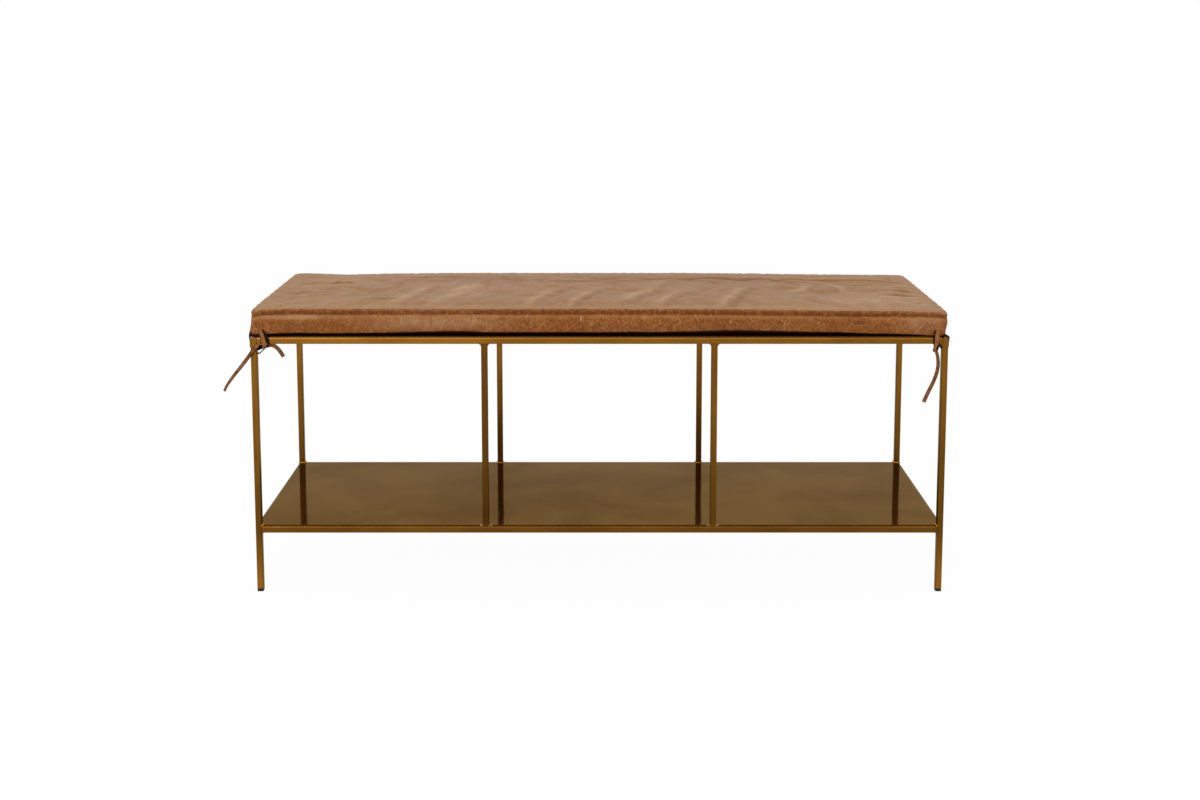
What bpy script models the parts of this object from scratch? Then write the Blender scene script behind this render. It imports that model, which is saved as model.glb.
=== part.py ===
"""A bench: a welded square-bar frame with a sheet shelf, and a leather cushion tied to its corners.

Metres, +Z up. The origin is on the floor under the middle of the bench, and the front is -Y.
"""

import math

import bmesh
import bpy
from mathutils import Euler, Vector

# Frame
LENGTH = 1.100  # outside faces of the legs
DEPTH = 0.380  # outside faces of the legs
FRAME_HEIGHT = 0.415  # top of the legs and of the top rails
BAR = 0.010  # square bar stock
BAR_EDGE = 0.0008  # radius of the bar's long edges
SHELF_RAIL_TOP = 0.1075
BAYS = 3
WELD = 0.003  # radius of the weld fillets at the bar ends
WELD_LAND = 0.0005  # what a fillet keeps at its thin end
GAP = 0.0003  # between pieces that touch

# Sheets
SHEET = 0.0012  # thickness of the shelf and of the deck
SHEET_INSET = 0.0055  # from the outside of the frame to the sheet's edge
NOTCH_MARGIN = 0.0045  # room for the weld beside a post

# Glides
GLIDE_HEIGHT = 0.005
GLIDE_SIDE = 0.0096
GLIDE_EDGE = 0.0007  # rounding of the pad's edges
PEG_RADIUS = 0.0025
PEG_LENGTH = 0.010
PEG_ROOT = 0.001  # how far the peg reaches down into its pad
PEG_PLAY = 0.0003
BORE_DEPTH = 0.0115
BORE_START = 0.002  # how far the boring tool stands out of the leg
ROUND_SIDES = 20

# Cushion
CUSHION_OVERHANG = 0.001  # past the outside of the frame, at the middle of the band
CUSHION_CORNER = 0.012  # plan radius of the corners
SEAM_INSET = 0.0046  # from the band's middle in to the two seams
BOTTOM_SEAM_HEIGHT = 0.4245
TOP_SEAM_HEIGHT = 0.4558
ROLL_REACH = 0.0050  # half width of the round edge of the top panel
ROLL_RISE = 0.0026  # half height of that edge
ROLL_START = math.radians(-50)  # where the round edge meets the seam
CROWN = 0.0052  # rise of the top from its edge to its middle
CROWN_POWER = 2.4
FLAT_INSET = 0.026  # where the bottom starts to lie on the deck
CORNER_DROP_BOTTOM = 0.0040  # the ties pull the corners down
CORNER_DROP_TOP = 0.0022
CORNER_REACH = 0.090
CORNER_FADE = 0.060  # inset at which the pull of a corner has died away
CORNER_SHARE = 0.55  # the most that a corner is pulled down, as a share of the height over the deck
DRAW_IN = 0.0015  # how far the long sides pull in at their middle
LEATHER = 0.0014
ZIP_HEIGHT = 0.0060
ZIP_THICKNESS = 0.0010
ZIP_RECESS = 0.0016
ZIP_LIP = 0.0003  # inset of the band beside the recess
ZIP_MARGIN = 0.001  # between the recess and the next line of the band
CORNER_STEPS = 4
LONG_STEPS = 12
SHORT_STEPS = 4

# Ties, flat leather laces
LACE_THICKNESS = 0.0016
LACE_STEPS = 2  # between two points of the lace's route
TAIL_WIDTH = 0.0060
TAIL_THICKNESS = 0.0016

HALF_LENGTH = LENGTH / 2
HALF_DEPTH = DEPTH / 2
LEG_X = HALF_LENGTH - BAR / 2
LEG_Y = HALF_DEPTH - BAR / 2
POST_X = LEG_X / BAYS
DECK_TOP = FRAME_HEIGHT + GAP + SHEET
CUSHION_BOTTOM = DECK_TOP + GAP
CUSHION_X = HALF_LENGTH + CUSHION_OVERHANG
CUSHION_Y = HALF_DEPTH + CUSHION_OVERHANG

BRASS = ((0.235, 0.115, 0.028, 1), 1.0, 0.36)
SHEET_BRASS = ((0.190, 0.105, 0.040, 1), 1.0, 0.20)
LEATHER_TAN = ((0.290, 0.120, 0.045, 1), 0.0, 0.48)
LACE_TAN = ((0.260, 0.105, 0.040, 1), 0.0, 0.60)
FOAM_CREAM = ((0.720, 0.660, 0.520, 1), 0.0, 0.95)
GLIDE_BLACK = ((0.015, 0.013, 0.012, 1), 0.0, 0.50)
ZIP_METAL = ((0.240, 0.170, 0.090, 1), 1.0, 0.40)


def clear_scene():
    for obj in list(bpy.data.objects):
        bpy.data.objects.remove(obj, do_unlink=True)


def material(name, look):
    colour, metallic, roughness = look
    made = bpy.data.materials.new(name)
    made.use_nodes = True
    shader = made.node_tree.nodes["Principled BSDF"]
    shader.inputs["Base Color"].default_value = colour
    shader.inputs["Metallic"].default_value = metallic
    shader.inputs["Roughness"].default_value = roughness
    made.diffuse_color = colour
    return made


def place(name, mesh, look, parent, location=(0, 0, 0), rotation=(0, 0, 0)):
    """One named object. A mesh that is already in use is shared, and the material sits on the object."""
    obj = bpy.data.objects.new(name, mesh)
    bpy.context.scene.collection.objects.link(obj)
    if not mesh.materials:
        mesh.materials.append(None)
    obj.material_slots[0].link = "OBJECT"
    obj.material_slots[0].material = material(name + "_finish", look)
    obj.location = location
    obj.rotation_euler = Euler(rotation)
    obj.parent = parent
    return obj


def empty(name, parent=None):
    made = bpy.data.objects.new(name, None)
    bpy.context.scene.collection.objects.link(made)
    made.parent = parent
    return made


def finish_mesh(name, bm, smooth_angle=35):
    bmesh.ops.recalc_face_normals(bm, faces=bm.faces)
    mesh = bpy.data.meshes.new(name)
    bm.to_mesh(mesh)
    bm.free()
    mesh.shade_smooth()
    mesh.set_sharp_from_angle(angle=math.radians(smooth_angle))
    return mesh


def loft(name, rings, smooth_angle=35):
    """A closed body through rings of points: a wall between each two, and a face on both ends."""
    bm = bmesh.new()
    loops = [[bm.verts.new(point) for point in ring] for ring in rings]
    count = len(rings[0])
    for lower, upper in zip(loops, loops[1:]):
        for i in range(count):
            j = (i + 1) % count
            bm.faces.new((lower[i], lower[j], upper[j], upper[i]))
    bm.faces.new(reversed(loops[0]))
    bm.faces.new(loops[-1])
    return finish_mesh(name, bm, smooth_angle)


def smooth_route(points, steps):
    """Catmull-Rom curve through the points, with the given number of steps between each two."""
    points = [Vector(point) for point in points]
    ends = [2 * points[0] - points[1], *points, 2 * points[-1] - points[-2]]
    route = []
    for a, b, c, d in zip(ends, ends[1:], ends[2:], ends[3:]):
        for step in range(steps):
            t = step / steps
            linear = (c - a) * t
            square = (2 * a - 5 * b + 4 * c - d) * t**2
            cubic = (3 * b - a - 3 * c + d) * t**3
            route.append(0.5 * (2 * b + linear + square + cubic))
    route.append(points[-1])
    return route


# Bars

def bar_section(low, high, inset=0.0):
    """Section of the bar, from -low to high across it, with its four long edges rounded."""
    half = BAR / 2 - inset
    radius = max(BAR_EDGE - inset, BAR_EDGE / 4)
    section = []
    for y_sign, z_limit, z_sign, start in (
        (1, high - inset, 1, 0),
        (-1, high - inset, 1, 90),
        (-1, low - inset, -1, 180),
        (1, low - inset, -1, 270),
    ):
        for turn in (0, 45, 90):
            angle = math.radians(start + turn)
            y = y_sign * (half - radius) + radius * math.cos(angle)
            z = z_sign * (z_limit - radius) + radius * math.sin(angle)
            section.append((y, z))
    return section


def bar_mesh(name, length, weld_low=False, weld_high=False, round_end=False):
    """A bar along X, centred, with weld fillets on its lower and upper side at both ends."""
    stations = []
    if weld_low or weld_high:
        flare = [(0.0, WELD), (WELD_LAND, WELD)]
        for turn in (30, 60, 90):
            angle = math.radians(turn)
            flare.append((WELD_LAND + WELD * (1 - math.cos(angle)), WELD * (1 - math.sin(angle))))
        stations += [(-length / 2 + along, out, 0.0) for along, out in flare]
        stations += [(length / 2 - along, out, 0.0) for along, out in reversed(flare)]
    else:
        stations += [(-length / 2, 0.0, 0.0)]
        if round_end:
            for back, inset in ((BAR_EDGE, 0.0), (BAR_EDGE * 0.3, BAR_EDGE * 0.3), (0.0, BAR_EDGE)):
                stations.append((length / 2 - back, 0.0, inset))
        else:
            stations += [(length / 2, 0.0, 0.0)]
    rings = []
    for along, out, inset in stations:
        low = BAR / 2 + (out if weld_low else 0)
        high = BAR / 2 + (out if weld_high else 0)
        rings.append([(along, y, z) for y, z in bar_section(low, high, inset)])
    return loft(name, rings)


def cylinder(bm, radius, low, high):
    """A round peg along Z, drawn with Blender's own cone tool."""
    made = bmesh.ops.create_cone(
        bm, cap_ends=True, segments=ROUND_SIDES, radius1=radius, radius2=radius, depth=high - low
    )
    bmesh.ops.translate(bm, verts=made["verts"], vec=(0, 0, (low + high) / 2))


def make_legs(frame):
    """Four legs, flush with the top rails, each bored from below for the peg of its glide."""
    low = GLIDE_HEIGHT + GAP
    length = FRAME_HEIGHT - low
    mesh = bar_mesh("leg", length, round_end=True)
    bore = bmesh.new()
    cylinder(bore, PEG_RADIUS + PEG_PLAY, low - BORE_START, low + BORE_DEPTH)
    bore_mesh = finish_mesh("bore", bore)
    for end, x in (("left", -LEG_X), ("right", LEG_X)):
        for side, y in (("front", -LEG_Y), ("back", LEG_Y)):
            centre = low + length / 2
            leg = place(f"leg_{side}_{end}", mesh, BRASS, frame, (x, y, centre), (0, -math.pi / 2, 0))
            cutter = place(f"bore_{side}_{end}", bore_mesh, GLIDE_BLACK, frame, (x, y, 0))
            cutter.hide_render = True
            cutter.display_type = "WIRE"
            cut = leg.modifiers.new("bore", "BOOLEAN")
            cut.operation = "DIFFERENCE"
            cut.solver = "EXACT"
            cut.object = cutter


def make_posts(frame):
    """The inner uprights. They stand on the shelf rails and carry the top rails."""
    low = SHELF_RAIL_TOP + GAP
    high = FRAME_HEIGHT - BAR - GAP
    mesh = bar_mesh("post", high - low, weld_low=True, weld_high=True)
    for end, x in (("left", -POST_X), ("right", POST_X)):
        for side, y in (("front", -LEG_Y), ("back", LEG_Y)):
            place(f"post_{side}_{end}", mesh, BRASS, frame, (x, y, (low + high) / 2), (0, -math.pi / 2, 0))


def make_rails(frame):
    """Two rectangles of rails, welded between the legs at the seat and at the shelf."""
    long_mesh = bar_mesh("long_rail", LENGTH - 2 * BAR - 2 * GAP, weld_low=True)
    short_mesh = bar_mesh("short_rail", DEPTH - 2 * BAR - 2 * GAP, weld_low=True)
    cross_mesh = bar_mesh("cross_bar", DEPTH - 2 * BAR - 2 * GAP)
    quarter = (0, 0, math.pi / 2)
    for level, top in (("seat", FRAME_HEIGHT), ("shelf", SHELF_RAIL_TOP)):
        z = top - BAR / 2
        place(f"{level}_rail_front", long_mesh, BRASS, frame, (0, -LEG_Y, z))
        place(f"{level}_rail_back", long_mesh, BRASS, frame, (0, LEG_Y, z))
        place(f"{level}_rail_left", short_mesh, BRASS, frame, (-LEG_X, 0, z), quarter)
        place(f"{level}_rail_right", short_mesh, BRASS, frame, (LEG_X, 0, z), quarter)
        place(f"{level}_cross_bar_left", cross_mesh, BRASS, frame, (-POST_X, 0, z), quarter)
        place(f"{level}_cross_bar_right", cross_mesh, BRASS, frame, (POST_X, 0, z), quarter)


def make_glides(frame):
    """Push-in floor glides: a square pad as wide as the leg, and a round peg in its bore."""
    bm = bmesh.new()
    cylinder(bm, PEG_RADIUS, GLIDE_HEIGHT - PEG_ROOT, GLIDE_HEIGHT + PEG_LENGTH)
    peg = finish_mesh("peg", bm)
    bm = bmesh.new()
    made = bmesh.ops.create_cube(bm, size=1)
    bmesh.ops.scale(bm, verts=made["verts"], vec=(GLIDE_SIDE, GLIDE_SIDE, GLIDE_HEIGHT))
    bmesh.ops.translate(bm, verts=made["verts"], vec=(0, 0, GLIDE_HEIGHT / 2))
    bmesh.ops.bevel(
        bm, geom=bm.edges[:], offset=GLIDE_EDGE, segments=2, profile=0.5, affect="EDGES", clamp_overlap=True
    )
    pad = finish_mesh("pad", bm)
    for end, x in (("left", -LEG_X), ("right", LEG_X)):
        for side, y in (("front", -LEG_Y), ("back", LEG_Y)):
            tool = place(f"peg_{side}_{end}", peg, GLIDE_BLACK, frame, (x, y, 0))
            tool.hide_render = True
            tool.display_type = "WIRE"
            glide = place(f"glide_{side}_{end}", pad, GLIDE_BLACK, frame, (x, y, 0))
            join = glide.modifiers.new("peg", "BOOLEAN")
            join.operation = "UNION"
            join.solver = "EXACT"
            join.object = tool


# Sheets

def sheet_mesh(name, outline):
    """A flat sheet: its outline, extruded upwards by the thickness."""
    bm = bmesh.new()
    face = bm.faces.new([bm.verts.new((x, y, 0)) for x, y in outline])
    made = bmesh.ops.extrude_face_region(bm, geom=[face])
    moved = [item for item in made["geom"] if isinstance(item, bmesh.types.BMVert)]
    bmesh.ops.translate(bm, verts=moved, vec=(0, 0, SHEET))
    return finish_mesh(name, bm)


def shelf_outline():
    """The shelf is cut out round the legs and round the feet of the posts."""
    edge_x = HALF_LENGTH - SHEET_INSET
    edge_y = HALF_DEPTH - SHEET_INSET
    inner_x = HALF_LENGTH - BAR - GAP
    inner_y = HALF_DEPTH - BAR - GAP
    half_notch = BAR / 2 + NOTCH_MARGIN
    quarter = [(edge_x, 0), (edge_x, inner_y), (inner_x, inner_y), (inner_x, edge_y)]
    quarter += [(POST_X + half_notch, edge_y), (POST_X + half_notch, inner_y)]
    quarter += [(POST_X - half_notch, inner_y), (POST_X - half_notch, edge_y)]
    half = quarter + [(-x, y) for x, y in reversed(quarter)]
    return half + [(-x, -y) for x, y in half if y > 0]


def make_sheets(frame):
    edge_x = HALF_LENGTH - SHEET_INSET
    edge_y = HALF_DEPTH - SHEET_INSET
    deck = [(edge_x, edge_y), (-edge_x, edge_y), (-edge_x, -edge_y), (edge_x, -edge_y)]
    for name, outline, rail_top in (
        ("shelf_sheet", shelf_outline(), SHELF_RAIL_TOP),
        ("seat_deck", deck, FRAME_HEIGHT),
    ):
        place(name, sheet_mesh(name, outline), SHEET_BRASS, frame, (0, 0, rail_top + GAP))


# Cushion

def plan_ring(inset):
    """The cushion's outline seen from above, drawn in by inset: rounded corners and shallow curved sides."""
    half_x = CUSHION_X - inset
    half_y = CUSHION_Y - inset
    radius = max(CUSHION_CORNER - inset, 0.001)
    corners = ((1, 1, 0), (-1, 1, 90), (-1, -1, 180), (1, -1, 270))
    ring = []
    for index, (x_sign, y_sign, start) in enumerate(corners):
        centre = Vector((x_sign * (half_x - radius), y_sign * (half_y - radius)))
        arc = []
        for step in range(CORNER_STEPS + 1):
            angle = math.radians(start + 90 * step / CORNER_STEPS)
            arc.append(centre + radius * Vector((math.cos(angle), math.sin(angle))))
        ring += arc
        next_x, next_y, next_start = corners[(index + 1) % 4]
        next_centre = Vector((next_x * (half_x - radius), next_y * (half_y - radius)))
        angle = math.radians(next_start)
        target = next_centre + radius * Vector((math.cos(angle), math.sin(angle)))
        steps = LONG_STEPS if index % 2 == 0 else SHORT_STEPS
        ring += [arc[-1].lerp(target, step / steps) for step in range(1, steps)]
    for point in ring:
        along = math.cos(math.pi * point.x / (2 * CUSHION_X))
        point.y -= math.copysign(DRAW_IN * along * (abs(point.y) / CUSHION_Y) ** 4, point.y)
    return ring


def corner_nearness(point):
    """1 at a corner of the cushion, falling to 0 over the corner's reach along both sides."""
    away = (abs(CUSHION_X - abs(point.x)) + abs(CUSHION_Y - abs(point.y))) / CORNER_REACH
    return max(0.0, 1.0 - away) ** 2


def lift_ring(inset, height, drop):
    return [(p.x, p.y, height - drop * corner_nearness(p)) for p in plan_ring(inset)]


def band_profile(steps=6):
    """Inset and height up the side band: it bulges between the two seams."""
    profile = []
    for step in range(steps + 1):
        t = step / steps
        height = BOTTOM_SEAM_HEIGHT + GAP / 2 + t * (TOP_SEAM_HEIGHT - BOTTOM_SEAM_HEIGHT - GAP)
        profile.append((SEAM_INSET * (2 * t - 1) ** 2, height))
    return profile


def top_profile():
    """Inset and height from the top seam round the edge and up over the crown."""
    edge_inset = SEAM_INSET + ROLL_REACH * math.cos(ROLL_START)
    middle = TOP_SEAM_HEIGHT + GAP / 2 - ROLL_RISE * math.sin(ROLL_START)
    profile = []
    for share in (0, 0.18, 0.36, 0.57, 0.79, 1):
        angle = ROLL_START + share * (math.pi / 2 - ROLL_START)
        profile.append((edge_inset - ROLL_REACH * math.cos(angle), middle + ROLL_RISE * math.sin(angle)))
    reach = CUSHION_Y - edge_inset
    for share in (0.06, 0.16, 0.32, 0.52, 0.75):
        rise = CROWN * (1 - (1 - share) ** CROWN_POWER)
        profile.append((edge_inset + share * reach, middle + ROLL_RISE + rise))
    return profile


def bottom_profile():
    """Inset and height from the bottom seam round under the cushion, down to where it lies on the deck."""
    profile = []
    rise = BOTTOM_SEAM_HEIGHT - GAP / 2 - CUSHION_BOTTOM
    for turn in (0, 22, 45, 67, 90):
        angle = math.radians(turn)
        inset = SEAM_INSET + (FLAT_INSET - SEAM_INSET) * (1 - math.cos(angle))
        profile.append((inset, CUSHION_BOTTOM + rise * (1 - math.sin(angle))))
    profile.append((CUSHION_Y * 0.75, CUSHION_BOTTOM))
    return profile


def offset_profile(profile, distance, first_run=None):
    """The profile moved sideways by distance, to the left of the way that it runs."""
    moved = []
    for i, (inset, height) in enumerate(profile):
        before = profile[max(i - 1, 0)]
        after = profile[min(i + 1, len(profile) - 1)]
        run = Vector((after[0] - before[0], after[1] - before[1])).normalized()
        if i == 0 and first_run:
            run = Vector(first_run)
        moved.append((inset - run.y * distance, height + run.x * distance))
    return moved


def drop_at(inset, height):
    """How far the cushion's corners are pulled down at this place in its section."""
    share = (height - BOTTOM_SEAM_HEIGHT) / (TOP_SEAM_HEIGHT - BOTTOM_SEAM_HEIGHT)
    share = min(max(share, 0.0), 1.0)
    edge = CORNER_DROP_BOTTOM + share * (CORNER_DROP_TOP - CORNER_DROP_BOTTOM)
    clearance = height - CUSHION_BOTTOM
    return min(edge * max(0.0, 1 - inset / CORNER_FADE), clearance * CORNER_SHARE)


def carry(stations):
    """Rings in plan for the stations of a section."""
    return [lift_ring(inset, height, drop_at(inset, height)) for inset, height in stations]


def panel_mesh(name, profile, inner):
    """A leather panel: its outer face from the middle to the seam, and its inner face back again."""
    return loft(name, carry(list(reversed(profile)) + inner))


def front_band_mesh():
    """The strip of the side band that goes round the front and both ends."""
    outer = band_profile()
    inner = [(inset + LEATHER, height) for inset, height in reversed(outer)]
    rings = carry(outer + inner)
    count = len(rings[0])
    first = CORNER_STEPS + LONG_STEPS
    stations = range(first, count + CORNER_STEPS + 1)
    return loft("front_band", [[ring[i % count] for ring in rings] for i in stations])


def recessed(profile):
    """The back band's profile, with the shallow recess that the zip lies in."""
    middle = (profile[0][1] + profile[-1][1]) / 2
    half = ZIP_HEIGHT / 2 + GAP
    lower = [point for point in profile if point[1] < middle - half - ZIP_MARGIN]
    upper = [point for point in profile if point[1] > middle + half + ZIP_MARGIN]
    recess = [(ZIP_LIP, middle - half), (ZIP_RECESS, middle - half)]
    recess += [(ZIP_RECESS, middle + half), (ZIP_LIP, middle + half)]
    return lower + recess + upper


def back_sections(stations):
    """The section along the straight part of the back, with a gap to the front band at both ends."""
    rings = carry(stations)
    stations_along = range(CORNER_STEPS, CORNER_STEPS + LONG_STEPS + 1)
    sections = [[Vector(ring[i]) for ring in rings] for i in stations_along]
    for section, shift in ((sections[0], -GAP), (sections[-1], GAP)):
        for point in section:
            point.x += shift
    return sections


def back_band_mesh():
    """The back strip of the band. Its inner face stays clear of the recess."""
    inner = [(inset + ZIP_RECESS + LEATHER, height) for inset, height in reversed(band_profile())]
    return loft("back_band", back_sections(recessed(band_profile()) + inner))


def zip_mesh():
    """The zip, a thin strip along the whole recess of the back band."""
    middle = (BOTTOM_SEAM_HEIGHT + TOP_SEAM_HEIGHT) / 2
    half = ZIP_HEIGHT / 2
    outer = ZIP_RECESS - GAP - ZIP_THICKNESS
    section = [(outer, middle - half), (outer, middle + half), (ZIP_RECESS - GAP, middle + half)]
    section += [(ZIP_RECESS - GAP, middle - half)]
    return loft("zip", back_sections(section))


def foam_mesh():
    """The foam block: the inside of the cover, with a little room all round."""
    room = LEATHER + 2 * GAP
    side_room = ZIP_RECESS + LEATHER + 2 * GAP
    side = [(inset + side_room, height) for inset, height in band_profile()]
    bottom = [point for point in offset_profile(bottom_profile(), room) if point[0] > side[0][0]]
    top = [point for point in offset_profile(top_profile(), -room) if point[0] > side[-1][0]]
    return loft("foam", carry(list(reversed(bottom)) + side + top))


def make_cushion(cushion):
    top = top_profile()
    bottom = bottom_profile()
    top_inner = offset_profile(top, -LEATHER)
    bottom_inner = offset_profile(bottom, LEATHER, first_run=(0, -1))
    place("cushion_foam", foam_mesh(), FOAM_CREAM, cushion)
    place("cushion_top_panel", panel_mesh("top_panel", top, top_inner), LEATHER_TAN, cushion)
    place("cushion_bottom_panel", panel_mesh("bottom_panel", bottom, bottom_inner), LEATHER_TAN, cushion)
    place("cushion_front_band", front_band_mesh(), LEATHER_TAN, cushion)
    place("cushion_back_band", back_band_mesh(), LEATHER_TAN, cushion)
    place("cushion_zip", zip_mesh(), ZIP_METAL, cushion)


# Ties

# Millimetres from the corner leg's centre: inwards along the bench, and away from its middle; the height
# is above the floor. The third column says which way the lace's flat side looks there.
LACE_ROUTE = (
    ((11.8, 5.4, 428.5), (0, 1, -0.35), 8.5),
    ((12.2, 6.0, 421.0), (0, 1, 0), 8.5),
    ((13.2, 6.5, 411.0), (0, 1, 0), 8.0),
    ((14.6, 6.3, 404.0), (0, 1, 0), 7.0),
    ((14.8, 5.9, 400.4), (0, 1, -0.2), 7.0),
    ((15.0, 3.6, 396.8), (0.2, 0.7, -0.7), 6.0),
    ((14.0, 0.4, 395.0), (0.5, 0, -0.85), 6.0),
    ((11.2, -4.0, 392.6), (0.8, -0.5, -0.5), 6.0),
    ((6.6, -7.0, 391.6), (0.35, -1, 0), 6.0),
    ((0.5, -7.4, 392.6), (0, -1, 0), 6.0),
    ((-4.8, -6.4, 395.2), (-0.6, -1, 0), 6.0),
    ((-7.2, -2.2, 399.5), (-1, -0.25, 0), 6.0),
    ((-6.9, 0.6, 406.0), (-1, 0, 0), 6.5),
    ((-6.7, 1.4, 414.0), (-1, 0, 0), 7.0),
    ((-6.2, 1.4, 421.0), (-1, 0, 0), 7.0),
    ((-5.4, 1.4, 427.5), (-1, 0, -0.35), 7.0),
)
KNOT_CENTRE = (14.8, 5.9, 400.4)
KNOT_REACH = (4.8, 1.5)
KNOT_TILT = math.radians(14)
KNOT_WIDTH = 4.6
KNOT_THICKNESS = 1.6
KNOT_STEPS = 12
CORNERS = {
    "front_left": (-1, -1),
    "front_right": (1, -1),
    "back_left": (-1, 1),
    "back_right": (1, 1),
}
# Metres. Each tail is a free end of a lace, from its knot to its tip, with the tilt of its flat side.
TAIL_ROUTES = {
    "front_left_long": (
        ((-0.5375, -0.1922, 0.4042), (-0.5447, -0.1930, 0.3960), (-0.5535, -0.1942, 0.3840),
         (-0.5647, -0.1954, 0.3696), (-0.5775, -0.1962, 0.3536), (-0.5871, -0.1966, 0.3400),
         (-0.5915, -0.1968, 0.3310)),
        0,
    ),
    "front_left_short": (
        ((-0.5262, -0.1862, 0.4010), (-0.5220, -0.1860, 0.4012), (-0.5165, -0.1862, 0.3985),
         (-0.5100, -0.1868, 0.3935), (-0.5045, -0.1874, 0.3885), (-0.4985, -0.1880, 0.3842)),
        0,
    ),
    "front_right_long": (
        ((0.5302, -0.1920, 0.3950), (0.5317, -0.1920, 0.3895), (0.5331, -0.1915, 0.3823),
         (0.5348, -0.1918, 0.3712), (0.5320, -0.1922, 0.3584), (0.5264, -0.1928, 0.3440),
         (0.5200, -0.1932, 0.3297), (0.5125, -0.1936, 0.3125)),
        50,
    ),
    "back_left_long": (
        ((-0.5375, 0.1922, 0.4042), (-0.5440, 0.1932, 0.3955), (-0.5520, 0.1950, 0.3830),
         (-0.5610, 0.1975, 0.3690), (-0.5680, 0.1995, 0.3540), (-0.5710, 0.2005, 0.3400)),
        0,
    ),
    "back_left_short": (
        ((-0.5262, 0.1862, 0.4010), (-0.5220, 0.1860, 0.4012), (-0.5170, 0.1862, 0.3985),
         (-0.5120, 0.1870, 0.3925), (-0.5085, 0.1880, 0.3850), (-0.5065, 0.1890, 0.3770)),
        0,
    ),
    "back_right_long": (
        ((0.5302, 0.1918, 0.3952), (0.5294, 0.1920, 0.3885), (0.5270, 0.1920, 0.3790),
         (0.5215, 0.1935, 0.3650), (0.5140, 0.1950, 0.3520), (0.5045, 0.1965, 0.3400)),
        0,
    ),
    "back_right_short": (
        ((0.5375, 0.1922, 0.4042), (0.5432, 0.1932, 0.3965), (0.5475, 0.1942, 0.3870),
         (0.5500, 0.1952, 0.3770), (0.5505, 0.1960, 0.3660)),
        0,
    ),
}
MILLIMETRE = 0.001


def flat_section(width, thickness):
    """Section of a lace: a flat strip with its long edges eased."""
    half_width = width / 2
    half_thickness = thickness / 2
    ease = thickness * 0.3
    quarter = [(half_width, half_thickness - ease), (half_width - ease, half_thickness)]
    upper = quarter + [(-x, y) for x, y in reversed(quarter)]
    return upper + [(-x, -y) for x, y in upper]


def sweep_flat(route, facings, widths, thickness, closed=False):
    """Rings of a flat strip along a route; each facing is the way the flat side looks."""
    rings = []
    count = len(route)
    for i, point in enumerate(route):
        before = route[(i - 1) % count if closed else max(i - 1, 0)]
        after = route[(i + 1) % count if closed else min(i + 1, count - 1)]
        run = (after - before).normalized()
        across = run.cross(facings[i]).normalized()
        out = across.cross(run)
        rings.append([point + across * x + out * y for x, y in flat_section(widths[i], thickness)])
    return rings


def at_corner(point, corner):
    """A point of the lace's own frame, in metres at one corner of the bench."""
    x_sign, y_sign = corner
    inwards, outwards, height = (part * MILLIMETRE for part in point)
    return Vector((x_sign * (LEG_X - inwards), y_sign * (LEG_Y + outwards), height))


def turned(facing, corner):
    """A direction of the lace's own frame, at one corner of the bench."""
    x_sign, y_sign = corner
    return Vector((-x_sign * facing[0], y_sign * facing[1], facing[2]))


def lace_mesh(name, corner):
    """The lace: down the face of the rail, under it, round behind the leg and up its outer side."""
    route = smooth_route([at_corner(point, corner) for point, facing, width in LACE_ROUTE], LACE_STEPS)
    facings = smooth_route([turned(facing, corner) for point, facing, width in LACE_ROUTE], LACE_STEPS)
    spans = smooth_route([(width * MILLIMETRE, 0, 0) for point, facing, width in LACE_ROUTE], LACE_STEPS)
    return loft(name, sweep_flat(route, facings, [span.x for span in spans], LACE_THICKNESS), 50)


def knot_mesh(name, corner):
    """The turn of lace drawn tight round the strand in front of the rail."""
    route = []
    facings = []
    for step in range(KNOT_STEPS):
        angle = 2 * math.pi * step / KNOT_STEPS
        along = KNOT_REACH[0] * math.cos(angle)
        out = KNOT_REACH[1] * math.sin(angle)
        turn = Vector((along, out, along * math.sin(KNOT_TILT)))
        route.append(at_corner(Vector(KNOT_CENTRE) + turn, corner))
        facings.append(turned((math.cos(angle) / KNOT_REACH[0], math.sin(angle) / KNOT_REACH[1], 0), corner))
    widths = [KNOT_WIDTH * MILLIMETRE] * KNOT_STEPS
    rings = sweep_flat(route, facings, widths, KNOT_THICKNESS * MILLIMETRE, closed=True)
    bm = bmesh.new()
    loops = [[bm.verts.new(point) for point in ring] for ring in rings]
    size = len(rings[0])
    for i, loop in enumerate(loops):
        following = loops[(i + 1) % len(loops)]
        for j in range(size):
            k = (j + 1) % size
            bm.faces.new((loop[j], loop[k], following[k], following[j]))
    return finish_mesh(name, bm, 50)


def make_ties(ties):
    for name, corner in CORNERS.items():
        knot = place(f"knot_{name}", knot_mesh(f"knot_{name}", corner), LACE_TAN, ties)
        knot.hide_render = True
        knot.display_type = "WIRE"
        tie = place(f"tie_{name}", lace_mesh(f"tie_{name}", corner), LACE_TAN, ties)
        join = tie.modifiers.new("knot", "BOOLEAN")
        join.operation = "UNION"
        join.solver = "EXACT"
        join.object = knot


def make_tails(ties):
    """The free ends: flat curves, each on a smooth line through its own points."""
    for name, (points, tilt) in TAIL_ROUTES.items():
        curve = bpy.data.curves.new(f"tail_{name}", "CURVE")
        curve.dimensions = "3D"
        curve.twist_mode = "MINIMUM"
        curve.bevel_depth = TAIL_THICKNESS / 2
        curve.extrude = (TAIL_WIDTH - TAIL_THICKNESS) / 2
        curve.bevel_resolution = 1
        curve.use_fill_caps = True
        route = smooth_route(points, 2)
        spline = curve.splines.new("POLY")
        spline.points.add(len(route) - 1)
        for knot, point in zip(spline.points, route):
            knot.co = (*point, 1)
            knot.tilt = math.radians(tilt)
        place(f"tie_tail_{name}", curve, LACE_TAN, ties)


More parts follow.
